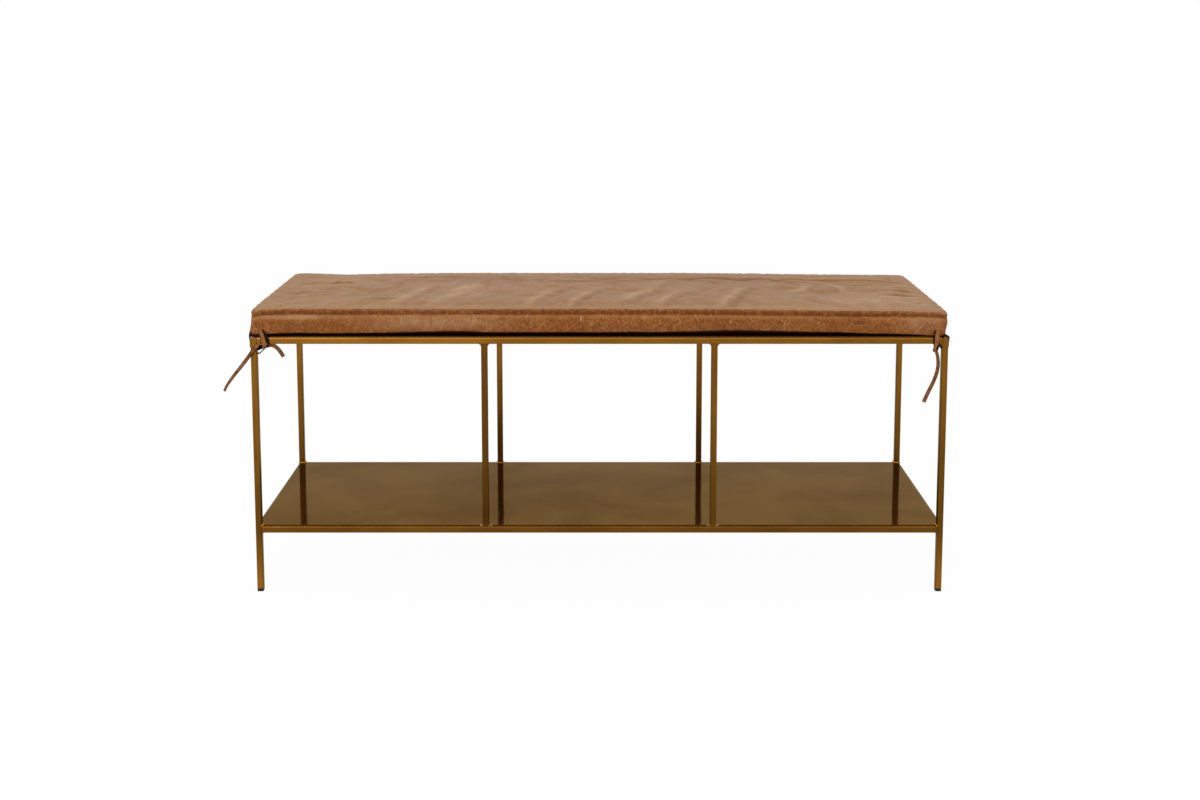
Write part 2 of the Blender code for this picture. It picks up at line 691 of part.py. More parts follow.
def main():
    clear_scene()
    bench = empty("bench")
    frame = empty("frame", bench)
    cushion = empty("cushion", bench)
    ties = empty("ties", bench)
    make_legs(frame)
    make_posts(frame)
    make_rails(frame)
    make_glides(frame)
    make_sheets(frame)
    make_cushion(cushion)
    make_ties(ties)
    make_tails(ties)


main()
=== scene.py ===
import math

import bmesh
import bpy
import numpy as np
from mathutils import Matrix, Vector


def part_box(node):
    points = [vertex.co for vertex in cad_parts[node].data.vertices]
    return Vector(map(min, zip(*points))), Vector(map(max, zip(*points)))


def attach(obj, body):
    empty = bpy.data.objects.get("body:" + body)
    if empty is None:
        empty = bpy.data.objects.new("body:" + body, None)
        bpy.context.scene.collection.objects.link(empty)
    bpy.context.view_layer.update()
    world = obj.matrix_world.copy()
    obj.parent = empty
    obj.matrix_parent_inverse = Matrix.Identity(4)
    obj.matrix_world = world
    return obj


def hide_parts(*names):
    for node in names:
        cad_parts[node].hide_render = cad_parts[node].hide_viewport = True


# The looks of the bench: its finishes, cushion cover, laces, welds and zip. Metres, +Z up, front at -Y.

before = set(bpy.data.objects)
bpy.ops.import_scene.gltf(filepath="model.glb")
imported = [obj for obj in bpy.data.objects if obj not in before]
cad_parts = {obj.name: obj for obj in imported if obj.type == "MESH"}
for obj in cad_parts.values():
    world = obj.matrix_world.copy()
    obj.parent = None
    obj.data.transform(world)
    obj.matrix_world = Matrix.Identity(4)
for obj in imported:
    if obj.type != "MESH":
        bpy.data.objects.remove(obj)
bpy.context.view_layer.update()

MM = 0.001

# The view of the photograph, whose frame is 1200 x 800
PHOTO_WIDTH = 1200
FOCAL_PIXELS = 1578
SENSOR_WIDTH = 36
CAMERA_X = 0.0010
CAMERA_DISTANCE = 2.633
CAMERA_HEIGHT = 0.899
CAMERA_PITCH = math.radians(7.37)
CAMERA_SHIFT = -0.14

# Places read from the frame
LEG_LOW, LEG_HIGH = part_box("leg_front_right")
LEG_X = (LEG_LOW.x + LEG_HIGH.x) / 2
LEG_Y = -(LEG_LOW.y + LEG_HIGH.y) / 2
HALF_BAR = (LEG_HIGH.x - LEG_LOW.x) / 2
POST_X = sum(corner.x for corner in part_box("post_front_right")) / 2
SEAT_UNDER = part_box("seat_rail_front")[0].z
SHELF_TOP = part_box("shelf_sheet")[1].z
BAND_LOW, BAND_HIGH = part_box("cushion_front_band")
COVER_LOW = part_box("cushion_bottom_panel")[0]

# The cushion's cover
COVER_X = BAND_HIGH.x
COVER_Y = -BAND_LOW.y
CORNER_RADIUS = 0.012
BOTTOM_INSET = 0.0017
TOP_INSET = 0.0020
VALLEY_DEPTH = 0.0009
BOTTOM_SEAM = 0.4245
TOP_SEAM = 0.4528
ROLL_REACH = 0.0042
ROLL_RISE = 0.0050
ROLL_START = math.radians(-25)
CROWN = 0.0036
CROWN_POWER = 2.4
UNDER_RADIUS = 0.0214
TOP_POWER = 3.2
BOTTOM_POWER = 8.0
BAND_ROWS = 12
ROLL_ROWS = 8
ZIP_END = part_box("cushion_zip")[1].x - 0.002
ZIP_DEPTH = 0.0017
TOOTH_PITCH = 0.0012
STITCH_PITCH = 0.0036
TAB_POINTS = 28
FINE_STEP = 0.0022
COARSE_STEP = 0.0058
STEP_GROWTH = 1.25
EDGE_ZONE = 0.030
SETTLE_CAP = 0.0030
SETTLE_FRAMES = 20


def smooth(low, high, value):
    """0 below low, 1 above high, and a soft curve between them; works on arrays too."""
    share = np.clip((value - low) / (high - low), 0.0, 1.0)
    return share * share * (3 - 2 * share)


def make_camera():
    data = bpy.data.cameras.new("camera")
    data.sensor_width = SENSOR_WIDTH
    data.lens = SENSOR_WIDTH * FOCAL_PIXELS / PHOTO_WIDTH
    data.shift_y = CAMERA_SHIFT
    camera = in_scene("camera", data)
    camera.location = (CAMERA_X, -CAMERA_DISTANCE, CAMERA_HEIGHT)
    camera.rotation_euler = (math.pi / 2 - CAMERA_PITCH, 0, 0)
    bpy.context.scene.camera = camera


# Materials

class Nodes:
    """A node tree, and short ways to add nodes to it."""

    def __init__(self, tree):
        self.nodes = tree.nodes
        self.links = tree.links

    def feed(self, socket, value):
        if isinstance(value, bpy.types.NodeSocket):
            self.links.new(value, socket)
        else:
            socket.default_value = (*value, 1) if socket.type == "RGBA" else value

    def add(self, kind, inputs=(), **settings):
        node = self.nodes.new(kind)
        for key, value in settings.items():
            setattr(node, key, value)
        for key, value in dict(inputs).items():
            self.feed(node.inputs[key], value)
        return node

    def maths(self, operation, first, second=0.0):
        return self.add("ShaderNodeMath", {0: first, 1: second}, operation=operation).outputs[0]

    def times(self, first, second):
        return self.maths("MULTIPLY", first, second)

    def spread(self, value, low, high, out_low=0.0, out_high=1.0):
        inputs = {"Value": value, "From Min": low, "From Max": high, "To Min": out_low, "To Max": out_high}
        return self.add("ShaderNodeMapRange", inputs, clamp=True).outputs[0]

    def seen(self):
        """1 for what the camera sees straight, by reflection or through something, and 0 for other rays."""
        rays = self.add("ShaderNodeLightPath").outputs
        straight = self.maths("MAXIMUM", rays["Is Camera Ray"], rays["Is Glossy Ray"])
        return self.maths("MAXIMUM", straight, rays["Is Transmission Ray"])


class Finish(Nodes):
    """A material, whose places are those of the row frame."""

    def __init__(self, name):
        self.material = bpy.data.materials.new(name)
        self.material.use_nodes = True
        super().__init__(self.material.node_tree)
        self.shader = self.nodes["Principled BSDF"]
        self.place = self.add("ShaderNodeTexCoord").outputs["Object"]

    def filled(self, base, rough, normal, others=()):
        """The material, once its shader has its inputs."""
        for key, value in {"Base Color": base, "Roughness": rough, "Normal": normal, **dict(others)}.items():
            self.feed(self.shader.inputs[key], value)
        return self.material

    def stretched(self, scale):
        """The place, scaled differently along each axis."""
        return self.add("ShaderNodeMapping", {"Vector": self.place, "Scale": scale}).outputs[0]

    def noise(self, scale, detail=3.0, rough=0.55, where=None, warp=0.0):
        inputs = {"Vector": where or self.place, "Scale": scale, "Detail": detail}
        inputs.update({"Roughness": rough, "Distortion": warp})
        return self.add("ShaderNodeTexNoise", inputs).outputs["Fac"]

    def warped(self, scale, amount):
        """The place, shifted about by noise."""
        inputs = {"Vector": self.place, "Scale": scale, "Detail": 2}
        drift = self.add("ShaderNodeTexNoise", inputs).outputs["Color"]
        drift = self.vector("SUBTRACT", drift, (0.5, 0.5, 0.5))
        drift = self.add("ShaderNodeVectorMath", {0: drift, "Scale": amount}, operation="SCALE").outputs[0]
        return self.vector("ADD", self.place, drift)

    def vector(self, operation, first, second):
        return self.add("ShaderNodeVectorMath", {0: first, 1: second}, operation=operation).outputs[0]

    def blend(self, share, first, second):
        return self.add("ShaderNodeMix", {0: share, 6: first, 7: second}, data_type="RGBA").outputs[2]

    def layered(self, base, *layers):
        """The base colour under layers, each with its share and its colour."""
        for share, colour in layers:
            base = self.blend(share, base, colour)
        return base

    def relief(self, *layers):
        """The normal after bumps, each with its height, distance and strength."""
        normal = None
        for height, distance, strength in layers:
            node = self.add("ShaderNodeBump", {"Height": height, "Distance": distance, "Strength": strength})
            if normal:
                self.links.new(normal, node.inputs["Normal"])
            normal = node.outputs[0]
        return normal

    def ovals(self, marks):
        """The strength in thin slanted ovals and 0 outside them, on the front face or on the top."""
        strongest = 0.0
        for x, y, z, length, width, angle, strength in marks:
            place = {"Vector": self.place, "Location": (x * MM, y * MM, z * MM)}
            length, width, deep = length * MM / 2, width * MM / 2, MARK_DEPTH
            on_top = y > TOP_MARKS_FROM
            place["Rotation"] = (0, 0, math.radians(angle)) if on_top else (0, -math.radians(angle), 0)
            place["Scale"] = (length, width, deep) if on_top else (length, deep, width)
            local = self.add("ShaderNodeMapping", place, vector_type="TEXTURE").outputs[0]
            far = self.add("ShaderNodeVectorMath", {0: local}, operation="LENGTH").outputs["Value"]
            strongest = self.maths("MAXIMUM", self.spread(far, 1.0, 0.15, 0.0, strength), strongest)
        return strongest

    def soft_normal(self, radius):
        """The normal that the surface would have with edges rounded to the radius."""
        return self.add("ShaderNodeBevel", {"Radius": radius}, samples=6).outputs[0]

    def wear(self, soft):
        """High on edges, where the soft normal leaves the real one."""
        straight = self.add("ShaderNodeNewGeometry").outputs["Normal"]
        product = self.add("ShaderNodeVectorMath", {0: soft, 1: straight}, operation="DOT_PRODUCT")
        return self.spread(product.outputs["Value"], 0.985, 0.86)


def brass(name, along, tone, end_tone=None, inner=0, painted_top_light=1.4):
    """Antique brass on a drawn bar: fine lines along it, cloudy patina, and brighter worn edges.

    A rail's tone runs from tone at the left to end_tone at the right, a painted falloff of light. An upright
    is darker above the shelf, a painted shade, and brighter at its foot, a painted reflection of the floor;
    the side that faces the middle of the bench (inner is its direction) is darkened with painted shade. What
    faces up on a rail is brighter by its top gain, a painted light, and what faces down is darker, a painted
    shade.
    """
    finish = Finish(name)
    lines = finish.stretched([9 if axis == along else 650 for axis in range(3)])
    drawn = finish.noise(1.0, 4, 0.6, lines)
    clouds = finish.stretched([12 if axis == along else 60 for axis in range(3)])
    cloud = finish.noise(1.0, 6, 0.62, clouds, 0.4)
    soft = finish.soft_normal(0.0015)
    rubbed = finish.times(finish.wear(soft), finish.spread(cloud, 0.30, 0.60, 0.20, 0.70))
    base = finish.layered(
        finish.blend(finish.spread(cloud, 0.36, 0.66), (0.205, 0.083, 0.0085), (0.272, 0.115, 0.0125)),
        (finish.times(finish.spread(finish.noise(420, 2, 0.5), 0.62, 0.75), 0.35), (0.110, 0.042, 0.004)),
        (finish.times(finish.spread(drawn, 0.45, 0.8), 0.35), (0.350, 0.165, 0.030)),
        (rubbed, (0.420, 0.215, 0.058)),
    )
    place = finish.add("ShaderNodeSeparateXYZ", {0: finish.place}).outputs
    facing = finish.add("ShaderNodeSeparateXYZ", {0: soft}).outputs
    # Painted light and shade: uprights by height and by the side facing the middle, rails from left to right
    # and by which way their faces look
    if along == 2:
        above = finish.spread(place[2], 0.13, 0.30, 0.58, 1.0)
        below = finish.spread(place[2], 0.095, 0.02, 0.0, 0.78)
        painted_inner_shade = finish.spread(finish.times(facing[0], inner), 0.10, 0.60, 1.0, 0.18)
        level = finish.times(finish.times(finish.maths("ADD", above, below), tone), painted_inner_shade)
    else:
        level = finish.spread(place[0], -0.45, 0.35, tone, end_tone or tone)
        level = finish.times(level, finish.spread(facing[2], -0.6, 0.0, 0.60, 1.0))
        level = finish.times(level, finish.spread(facing[2], 0.0, 0.6, 1.0, painted_top_light))
    base = finish.add("ShaderNodeVectorMath", {0: base, "Scale": level}, operation="SCALE").outputs[0]
    bumps = finish.relief((drawn, 0.00006, 0.5), (finish.noise(140, 3), 0.00010, 0.4))
    rough = finish.spread(cloud, 0.3, 0.7, 0.44, 0.30)
    return finish.filled(base, rough, bumps, {"Metallic": 1.0, "Specular Tint": (1.0, 0.85, 0.60)})


def polished_sheet(name, dark, bright, rough, edge_tint):
    """The sheet: nearly a mirror, slightly wavy, with a cloudy tone and faint wiping marks."""
    finish = Finish(name)
    cloud = finish.noise(5.5, 5, 0.55, warp=0.6)
    wiped = finish.noise(1.0, 3, 0.6, finish.stretched((7, 240, 240)))
    base = finish.layered(
        finish.blend(finish.spread(cloud, 0.36, 0.66), dark, bright),
        (finish.times(finish.spread(wiped, 0.55, 0.8), 0.16), (0.200, 0.112, 0.040)),
        (finish.times(finish.wear(finish.soft_normal(0.0006)), 0.5), (0.330, 0.210, 0.090)),
    )
    dents = finish.relief((finish.noise(7, 2, 0.4), 0.0010, 0.5), (finish.noise(34, 2, 0.4), 0.00016, 0.5))
    others = {"Metallic": 0.90, "Specular IOR Level": 0.1, "Specular Tint": edge_tint}
    return finish.filled(base, finish.spread(wiped, 0.3, 0.75, rough, rough + 0.05), dents, others)


# Marks further back than this, in millimetres, are on the leather's top, and how deep each mark reaches
TOP_MARKS_FROM = -150
MARK_DEPTH = 0.012

# Pale marks are scuffs and painted highlights on short folds, and dark marks are painted shade along fold
# valleys: middle (x, y, z), length and width in millimetres, angle, strength
PALE_MARKS = (
    (-29.5, -190, 445.5, 12.5, 3.6, 86, 1), (1.5, -190, 450, 5, 4, 80, 0.9),
    (-12.6, -190, 436.8, 24, 2.6, 38, 0.7), (40, -190, 436.6, 13, 2.8, 45, 0.7),
    (126, -190, 444.5, 20, 3.4, -72, 0.8), (206.6, -190, 441, 20.5, 3, 80, 0.85),
    (292, -190, 439, 17, 3.2, 62, 0.75), (153, -190, 447, 15, 3, -58, 0.6),
    (-205, -190, 444, 15, 6, 84, 0.45), (70, -190, 447, 13, 4.4, 75, 0.4),
    (238, -190, 445, 17, 2.8, -50, 0.55), (-115, -190, 448, 11, 6, 78, 0.4),
    (176, -190, 450, 14, 2.6, -66, 0.6), (190, -190, 440, 13, 2.6, -52, 0.5),
    (95, -190, 440, 12, 3.4, 66, 0.4), (334, -190, 444, 14, 3, -30, 0.4), (-17, -80, 464, 53, 4.4, 70, 0.5),
    (-6, -95, 464, 56, 4, 72, 0.45), (135, -120, 464, 40, 4.6, 62, 0.45),
    (-466, -76, 463, 30, 4.8, 8, 0.75),
)
DARK_MARKS = (
    (408, -190, 440.5, 37, 2.2, -6, 0.7), (342, -190, 444, 45, 2, -10, 0.6),
    (-23, -190, 433, 18, 1.8, 30, 0.6), (180, -190, 440, 16, 2.4, 68, 0.6),
    (266, -190, 441, 15, 2.4, 58, 0.6), (-455, 48, 464, 26, 5, 25, 0.5), (-464, -71, 463, 26, 3.6, 8, 0.55),
)


def cover_leather(name):
    """Waxed full-grain leather: cloudy colour, grain, creases with painted light and shade, pale veins and
    scuffs, dark seams with painted shade in their grooves, painted highlights below the top seam, a painted
    sheen on the top panel and an underside painted near black as shade.
    """
    finish = Finish(name)
    seam, painted_highlight, crease_shade_and_tone, kind = (
        finish.add("ShaderNodeAttribute", attribute_name=key).outputs["Fac"]
        for key in ("seam", "painted_highlight", "crease_shade_and_tone", "kind")
    )
    large = finish.noise(7, 5, 0.6, warp=0.8)
    middle = finish.noise(48, 6, 0.62, warp=0.4)
    clumps = finish.noise(210, 4, 0.68)
    pores = finish.noise(1100, 2, 0.6)
    grazes = finish.noise(1.0, 4, 0.7, finish.stretched((22, 170, 170)), warp=0.6)
    fold = finish.maths("ABSOLUTE", finish.maths("SUBTRACT", finish.noise(60, 5, 0.68, warp=2.4), 0.5))
    fine_folds = finish.spread(fold, 0.0, 0.03, 1.0, 0.0)
    inputs = {"Vector": finish.warped(38, 0.030), "Scale": 44}
    cells = finish.add("ShaderNodeTexVoronoi", inputs, feature="DISTANCE_TO_EDGE").outputs["Distance"]
    veins = finish.spread(cells, 0.0, 0.035, 1.0, 0.0)
    veins = finish.times(veins, finish.spread(large, 0.42, 0.58))
    # pale ticks break up the painted shade of the seams, as painted highlights on their puckers
    ticks = finish.noise(1.0, 3, 0.7, finish.stretched((170, 170, 25)))
    seam = finish.times(seam, finish.spread(ticks, 0.44, 0.62, 1.0, 0.45))
    pale_marks = finish.times(finish.ovals(PALE_MARKS), finish.spread(clumps, 0.40, 0.60, 0.45, 1.0))

    base = finish.layered(
        finish.blend(finish.spread(large, 0.34, 0.68), (0.205, 0.058, 0.0065), (0.275, 0.084, 0.012)),
        (finish.spread(middle, 0.36, 0.70, 0, 0.50), (0.326, 0.109, 0.021)),
        (finish.spread(middle, 0.46, 0.26, 0, 0.40), (0.150, 0.037, 0.004)),
        (finish.spread(clumps, 0.52, 0.66, 0, 0.70), (0.430, 0.170, 0.050)),
        (finish.spread(clumps, 0.48, 0.34, 0, 0.66), (0.118, 0.028, 0.003)),
        (finish.spread(grazes, 0.56, 0.78, 0, 0.40), (0.380, 0.145, 0.036)),
        (finish.times(veins, 0.68), (0.500, 0.235, 0.090)),
        (finish.times(fine_folds, 0.22), (0.110, 0.028, 0.004)),
        # painted sheen: the top panel is made paler for the sheen it shows at a grazing view
        (finish.times(finish.spread(kind, 1.4, 1.9), 0.58), (0.330, 0.196, 0.083)),
        # painted light on crease ridges and painted shade in their valleys, with broad paler and darker
        # patches
        (finish.times(finish.spread(crease_shade_and_tone, 0, 1), finish.spread(middle, 0.30, 0.65, 0.30, 0.75)),
         (0.470, 0.285, 0.150)),
        (finish.spread(crease_shade_and_tone, 0, -1, 0, 0.62), (0.185, 0.078, 0.024)),
        # painted highlight below the top seam and along the top's edge
        (finish.times(painted_highlight, finish.spread(middle, 0.30, 0.70, 0.35, 0.95)), (0.450, 0.190, 0.062)),
        # dark seam lines, spread into painted shade in the grooves
        (finish.times(seam, 0.86), (0.105, 0.026, 0.002)),
        # pale marks: scuffs and painted highlights on short folds; dark marks: painted shade in fold valleys
        (pale_marks, (0.520, 0.285, 0.135)),
        (finish.ovals(DARK_MARKS), (0.120, 0.038, 0.008)),
        # painted shade: the underside is made near black so that the gap under the cushion reads as deep
        # shade
        (finish.spread(kind, 0.5, 0.1, 0, 0.92), (0.012, 0.005, 0.002)),
    )
    rough = finish.spread(finish.maths("ADD", middle, grazes), 0.7, 1.35, 0.56, 0.42)
    bumps = finish.relief(
        (clumps, 0.00030, 0.6), (pores, 0.00010, 0.5), (fine_folds, 0.00030, 0.35), (veins, 0.00030, 0.4),
        (middle, 0.0012, 0.35),
    )
    return finish.filled(base, rough, bumps, {"Specular IOR Level": 0.13})


def lace_leather(name, dark, bright, roughness, gloss):
    """Cut lace: leather with fine grain and a cloudy tone."""
    finish = Finish(name)
    cloud = finish.noise(150, 5, 0.62, warp=0.5)
    fine = finish.noise(1100, 3)
    base = finish.blend(finish.spread(cloud, 0.34, 0.68), dark, bright)
    rough = finish.spread(fine, 0.3, 0.7, roughness - 0.06, roughness + 0.08)
    bumps = finish.relief((fine, 0.00010, 0.6), (cloud, 0.00025, 0.5))
    return finish.filled(base, rough, bumps, {"Specular IOR Level": gloss})


def glide_plastic(name):
    finish = Finish(name)
    scuff = finish.noise(260, 4)
    base = finish.blend(finish.spread(scuff, 0.40, 0.72), (0.012, 0.006, 0.003), (0.050, 0.026, 0.012))
    rough = finish.spread(scuff, 0.3, 0.7, 0.42, 0.62)
    return finish.filled(base, rough, finish.relief((scuff, 0.00010, 0.6)), {"Specular IOR Level": 0.2})


def zip_tape(name):
    """Woven tape: fine ribs across it."""
    finish = Finish(name)
    weave = {"Vector": finish.place, "Scale": 520, "Distortion": 0.4}
    ribs = finish.add("ShaderNodeTexWave", weave, bands_direction="X").outputs["Fac"]
    base = finish.blend(ribs, (0.050, 0.024, 0.011), (0.110, 0.054, 0.026))
    return finish.filled(base, 0.88, finish.relief((ribs, 0.00010, 0.8)))


# Meshes

def in_scene(name, mesh):
    piece = bpy.data.objects.new(name, mesh)
    bpy.context.scene.collection.objects.link(piece)
    return piece


def new_piece(name, points, faces, materials, face_slots=None, sharp=None):
    mesh = bpy.data.meshes.new(name)
    mesh.from_pydata([tuple(map(float, point)) for point in points], [], faces)
    for material in materials:
        mesh.materials.append(material)
    if face_slots is not None:
        mesh.polygons.foreach_set("material_index", face_slots)
    mesh.shade_smooth()
    if sharp:
        mesh.set_sharp_from_angle(angle=math.radians(sharp))
    mesh.update()
    return in_scene(name, mesh)


def small_parts(name, bm, material, smooth=True):
    """One piece of many small closed parts, from a bmesh."""
    mesh = bpy.data.meshes.new(name)
    bm.normal_update()
    bmesh.ops.recalc_face_normals(bm, faces=bm.faces)
    bm.to_mesh(mesh)
    bm.free()
    mesh.materials.append(material)
    if smooth:
        mesh.shade_smooth()
    piece = in_scene(name, mesh)
    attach(piece, "root")


def smooth_route(points, steps):
    """Catmull-Rom curve through the points, with the given number of steps between each two."""
    points = [np.array(point, float) for point in points]
    ends = [2 * points[0] - points[1], *points, 2 * points[-1] - points[-2]]
    route = []
    for a, b, c, d in zip(ends, ends[1:], ends[2:], ends[3:]):
        for step in range(steps):
            t = step / steps
            cubic = (3 * b - a - 3 * c + d) * t**3
            route.append(0.5 * (2 * b + (c - a) * t + (2 * a - 5 * b + 4 * c - d) * t**2 + cubic))
    route.append(points[-1])
    return route


def unit(vector):
    return vector / max(np.linalg.norm(vector), 1e-12)


def runs(route):
    """The direction of the route at each of its points."""
    return [unit(after - before) for before, after in zip([route[0], *route], [*route[1:], route[-1]])]


# Across a lace from its left edge to its right one, and out of its middle plane: (share, share of thickness)
LACE_SECTION = (
    (0.00, -0.16), (0.00, 0.12), (0.11, 0.42), (0.30, 0.50), (0.50, 0.48), (0.70, 0.50), (0.89, 0.42),
    (1.00, 0.12), (1.00, -0.16), (0.92, -0.46), (0.50, -0.50), (0.08, -0.46),
)
FACE_SIDES = (2, 3, 4, 5)


def lace(name, lefts, rights, thickness, materials, steps=6):
    """A flat lace between two edge lines. Its face is brown and its edges and back are near black: dark cut
    edges, and where a back is turned to the front, a painted shade.
    """
    lefts, rights = smooth_route(lefts, steps), smooth_route(rights, steps)
    middles = [(left + right) / 2 for left, right in zip(lefts, rights)]
    points, faces, slots = [], [], []
    count = len(LACE_SECTION)
    for left, right, run in zip(lefts, rights, runs(middles)):
        normal = unit(np.cross(right - left, run))
        for share, out in LACE_SECTION:
            points.append(left + (right - left) * share + normal * out * thickness)
    for i in range(len(middles) - 1):
        for j in range(count):
            k = (j + 1) % count
            faces.append((i * count + j, i * count + k, (i + 1) * count + k, (i + 1) * count + j))
            slots.append(0 if j in FACE_SIDES else 1)
    last = (len(middles) - 1) * count
    faces += [tuple(reversed(range(count))), tuple(range(last, last + count))]
    slots += [1, 1]
    piece = new_piece(name, points, faces, materials, slots, sharp=55)
    bm = bmesh.new()
    bm.from_mesh(piece.data)
    bmesh.ops.recalc_face_normals(bm, faces=bm.faces)
    bm.to_mesh(piece.data)
    bm.free()
    return piece, middles


# Tails, the free ends of the laces. Each has its route in millimetres, which way its face looks at each end
# of it, and its width at each end.
TAIL_THICKNESS = 0.0016
TAILS = {
    "front_left_long": (
        ((-537.5, -192.2, 404.2), (-544.7, -193, 396), (-553.5, -194.2, 384), (-564.7, -195.4, 369.6),
         (-577.5, -196.2, 353.6), (-587.1, -196.6, 340), (-591.5, -196.8, 331)),
        (-0.1, -1, 0.35), (-0.55, -0.8, 0.5), 7.2, 5.4,
    ),
    "front_left_short": (
        ((-526.2, -186.2, 401), (-521.5, -186, 402.7), (-515.2, -186.2, 402.4), (-509, -186.8, 398.4),
         (-503.4, -187.4, 392), (-498.5, -188, 384.2)),
        (-0.3, -1, -0.2), (-0.35, -1, -0.2), 7.2, 7.4,
    ),
    "front_right_long": (
        ((530.2, -192, 395), (532, -192, 389.5), (533.5, -191.7, 382.3), (534.1, -191.8, 371.2),
         (532, -192.2, 358.4), (526.7, -192.8, 344), (520, -193.2, 329.7), (512.5, -193.6, 312.5)),
        (-0.9, -1, 0), (-0.55, -1, 0.45), 5.6, 6.2,
    ),
    "back_left_long": (
        ((-537.5, 192.2, 404.2), (-544, 193.2, 395.5), (-552, 195, 383), (-561, 197.5, 369),
         (-568, 199.5, 354), (-571, 200.5, 340)),
        (0.25, 1, 0.25), (-0.5, 1, -0.2), 6.6, 5.4,
    ),
    "back_left_short": (
        ((-526.2, 186.2, 401), (-522, 186, 401.2), (-517, 186.2, 398.5), (-512, 187, 392.5),
         (-508.5, 188, 385), (-506.5, 189, 377)),
        (-0.35, 1, -0.35), (0.4, 1, -0.3), 6, 6,
    ),
    "back_right_long": (
        ((530.2, 191.8, 395.2), (529.4, 192, 388.5), (527, 192, 379), (521.5, 193.5, 365), (514, 195, 352),
         (504.5, 196.5, 340)),
        (-0.5, 1, 0), (-0.6, 1, 0.3), 5.6, 5.6,
    ),
    "back_right_short": (
        ((537.5, 192.2, 404.2), (543.2, 193.2, 396.5), (547.5, 194.2, 387), (550, 195.2, 377),
         (550.5, 196, 366)),
        (-0.25, 1, 0.25), (0.4, 1, -0.2), 6, 5.6,
    ),
}


def make_tails(materials):
    for name, (points, first_look, last_look, first_width, last_width) in TAILS.items():
        route = smooth_route(np.array(points) * MM, 3)
        lefts, rights = [], []
        for i, (middle, run) in enumerate(zip(route, runs(route))):
            share = i / (len(route) - 1)
            look = unit(np.array(first_look)) * (1 - share) + unit(np.array(last_look)) * share
            half = (first_width + (last_width - first_width) * share) * MM / 2
            side = unit(np.cross(run, look)) * half
            lefts.append(middle - side)
            rights.append(middle + side)
        tail, middles = lace(f"tail_{name}", lefts, rights, TAIL_THICKNESS, materials, steps=2)
        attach(tail, "root")
        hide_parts(f"tie_tail_{name}")


# Ties. Each lace is a list of places on its two edges, in millimetres from the corner leg's centre: inwards
# along the bench, outwards from its middle, and the height above the floor, first of one edge.
LACE_THICKNESS = 0.0017
LEFT_TIE = {
    "strap": (
        (8.6, 5, 428.6, 15.4, 5, 428.9), (9.8, 6.6, 421.5, 17.3, 6.4, 422),
        (11.3, 7.4, 413.5, 19.6, 7.2, 414.5), (12.8, 8.2, 406, 21.2, 8, 409.6),
        (14.6, 8.6, 400.2, 22.4, 8.4, 407.8), (15.3, 7.6, 398, 23.3, 7.4, 406.6),
        (14.4, 6.3, 397.8, 22, 6.3, 406.2), (11.5, 4.6, 396.6, 14.6, 5.9, 404.4),
        (8.4, 0.8, 394.6, 9.2, 0.9, 402.8), (6.3, -4.2, 393.2, 6.5, -4.2, 401.2),
        (2, -6.8, 392.6, 2, -6.8, 400.4), (-3.2, -6.8, 393.6, -3.2, -6.8, 400.8),
        (-6.1, -3.2, 396.4, -6.1, -3.6, 402.6), (-6.2, 0.8, 401.6, -6.1, -3.4, 406),
        (-6.1, 1.4, 408, -6.1, -4.6, 410), (-7.2, 1.2, 415.6, -7.2, -5, 416.3),
        (-6.9, 0.6, 421, -6.9, -5.6, 421.6), (-5.2, -0.8, 425.6, -5.6, -7.4, 425.8),
    ),
    # The inner strip shows its near-black back beside the strap, a painted shade
    "inner": (
        (17, 5.8, 428.2, 14.4, 6.2, 428.4), (20.8, 6, 421, 16.6, 6.6, 421), (23.9, 6.2, 415, 19, 6.6, 415),
        (25.2, 6.2, 409, 20.2, 6.6, 409), (25.2, 6.2, 404.4, 20.6, 6.4, 403),
        (22.6, 5, 401.8, 19.6, 4.6, 399.6), (19.4, 1.8, 401, 18, 1.4, 398.8),
    ),
    "under": (
        (2, -7.2, 387.2, 2, -7.2, 390.2), (6.4, -3.6, 387.4, 6.8, -5, 389.2),
        (9.6, 1.6, 390.2, 9.8, -0.6, 391), (15.2, 4.2, 395.4, 15.2, 1.6, 396),
        (20.4, 5.6, 400.8, 20.4, 2.8, 401.4), (24.4, 7, 404.2, 24.2, 4, 403.8),
    ),
    "root": (
        (17, 5.9, 412, 14.4, 5.9, 406), (12, 6.3, 410.2, 10.6, 6.4, 403.6),
        (8.4, 7, 407.4, 6.4, 7.2, 401.2),
    ),
    # The over lace stands in the gap between cushion and frame with its near-black side to the front,
    # painting the shade there
    "over": (
        (-6, 0.2, 425.8, -6.3, 0.8, 416), (-2.8, 1.6, 424, -2.8, 2.2, 416), (2, 3, 422.4, 2, 3.2, 416),
        (9.5, 3, 421.2, 9.5, 3.2, 416),
    ),
    "glint": (
        (-0.4, 4.2, 416.2, -1.4, 4.6, 417.4), (-2.6, 4.8, 418.4, -3.4, 5.2, 419.8),
        (-4.6, 4.6, 420.8, -5, 5, 422.4),
    ),
}
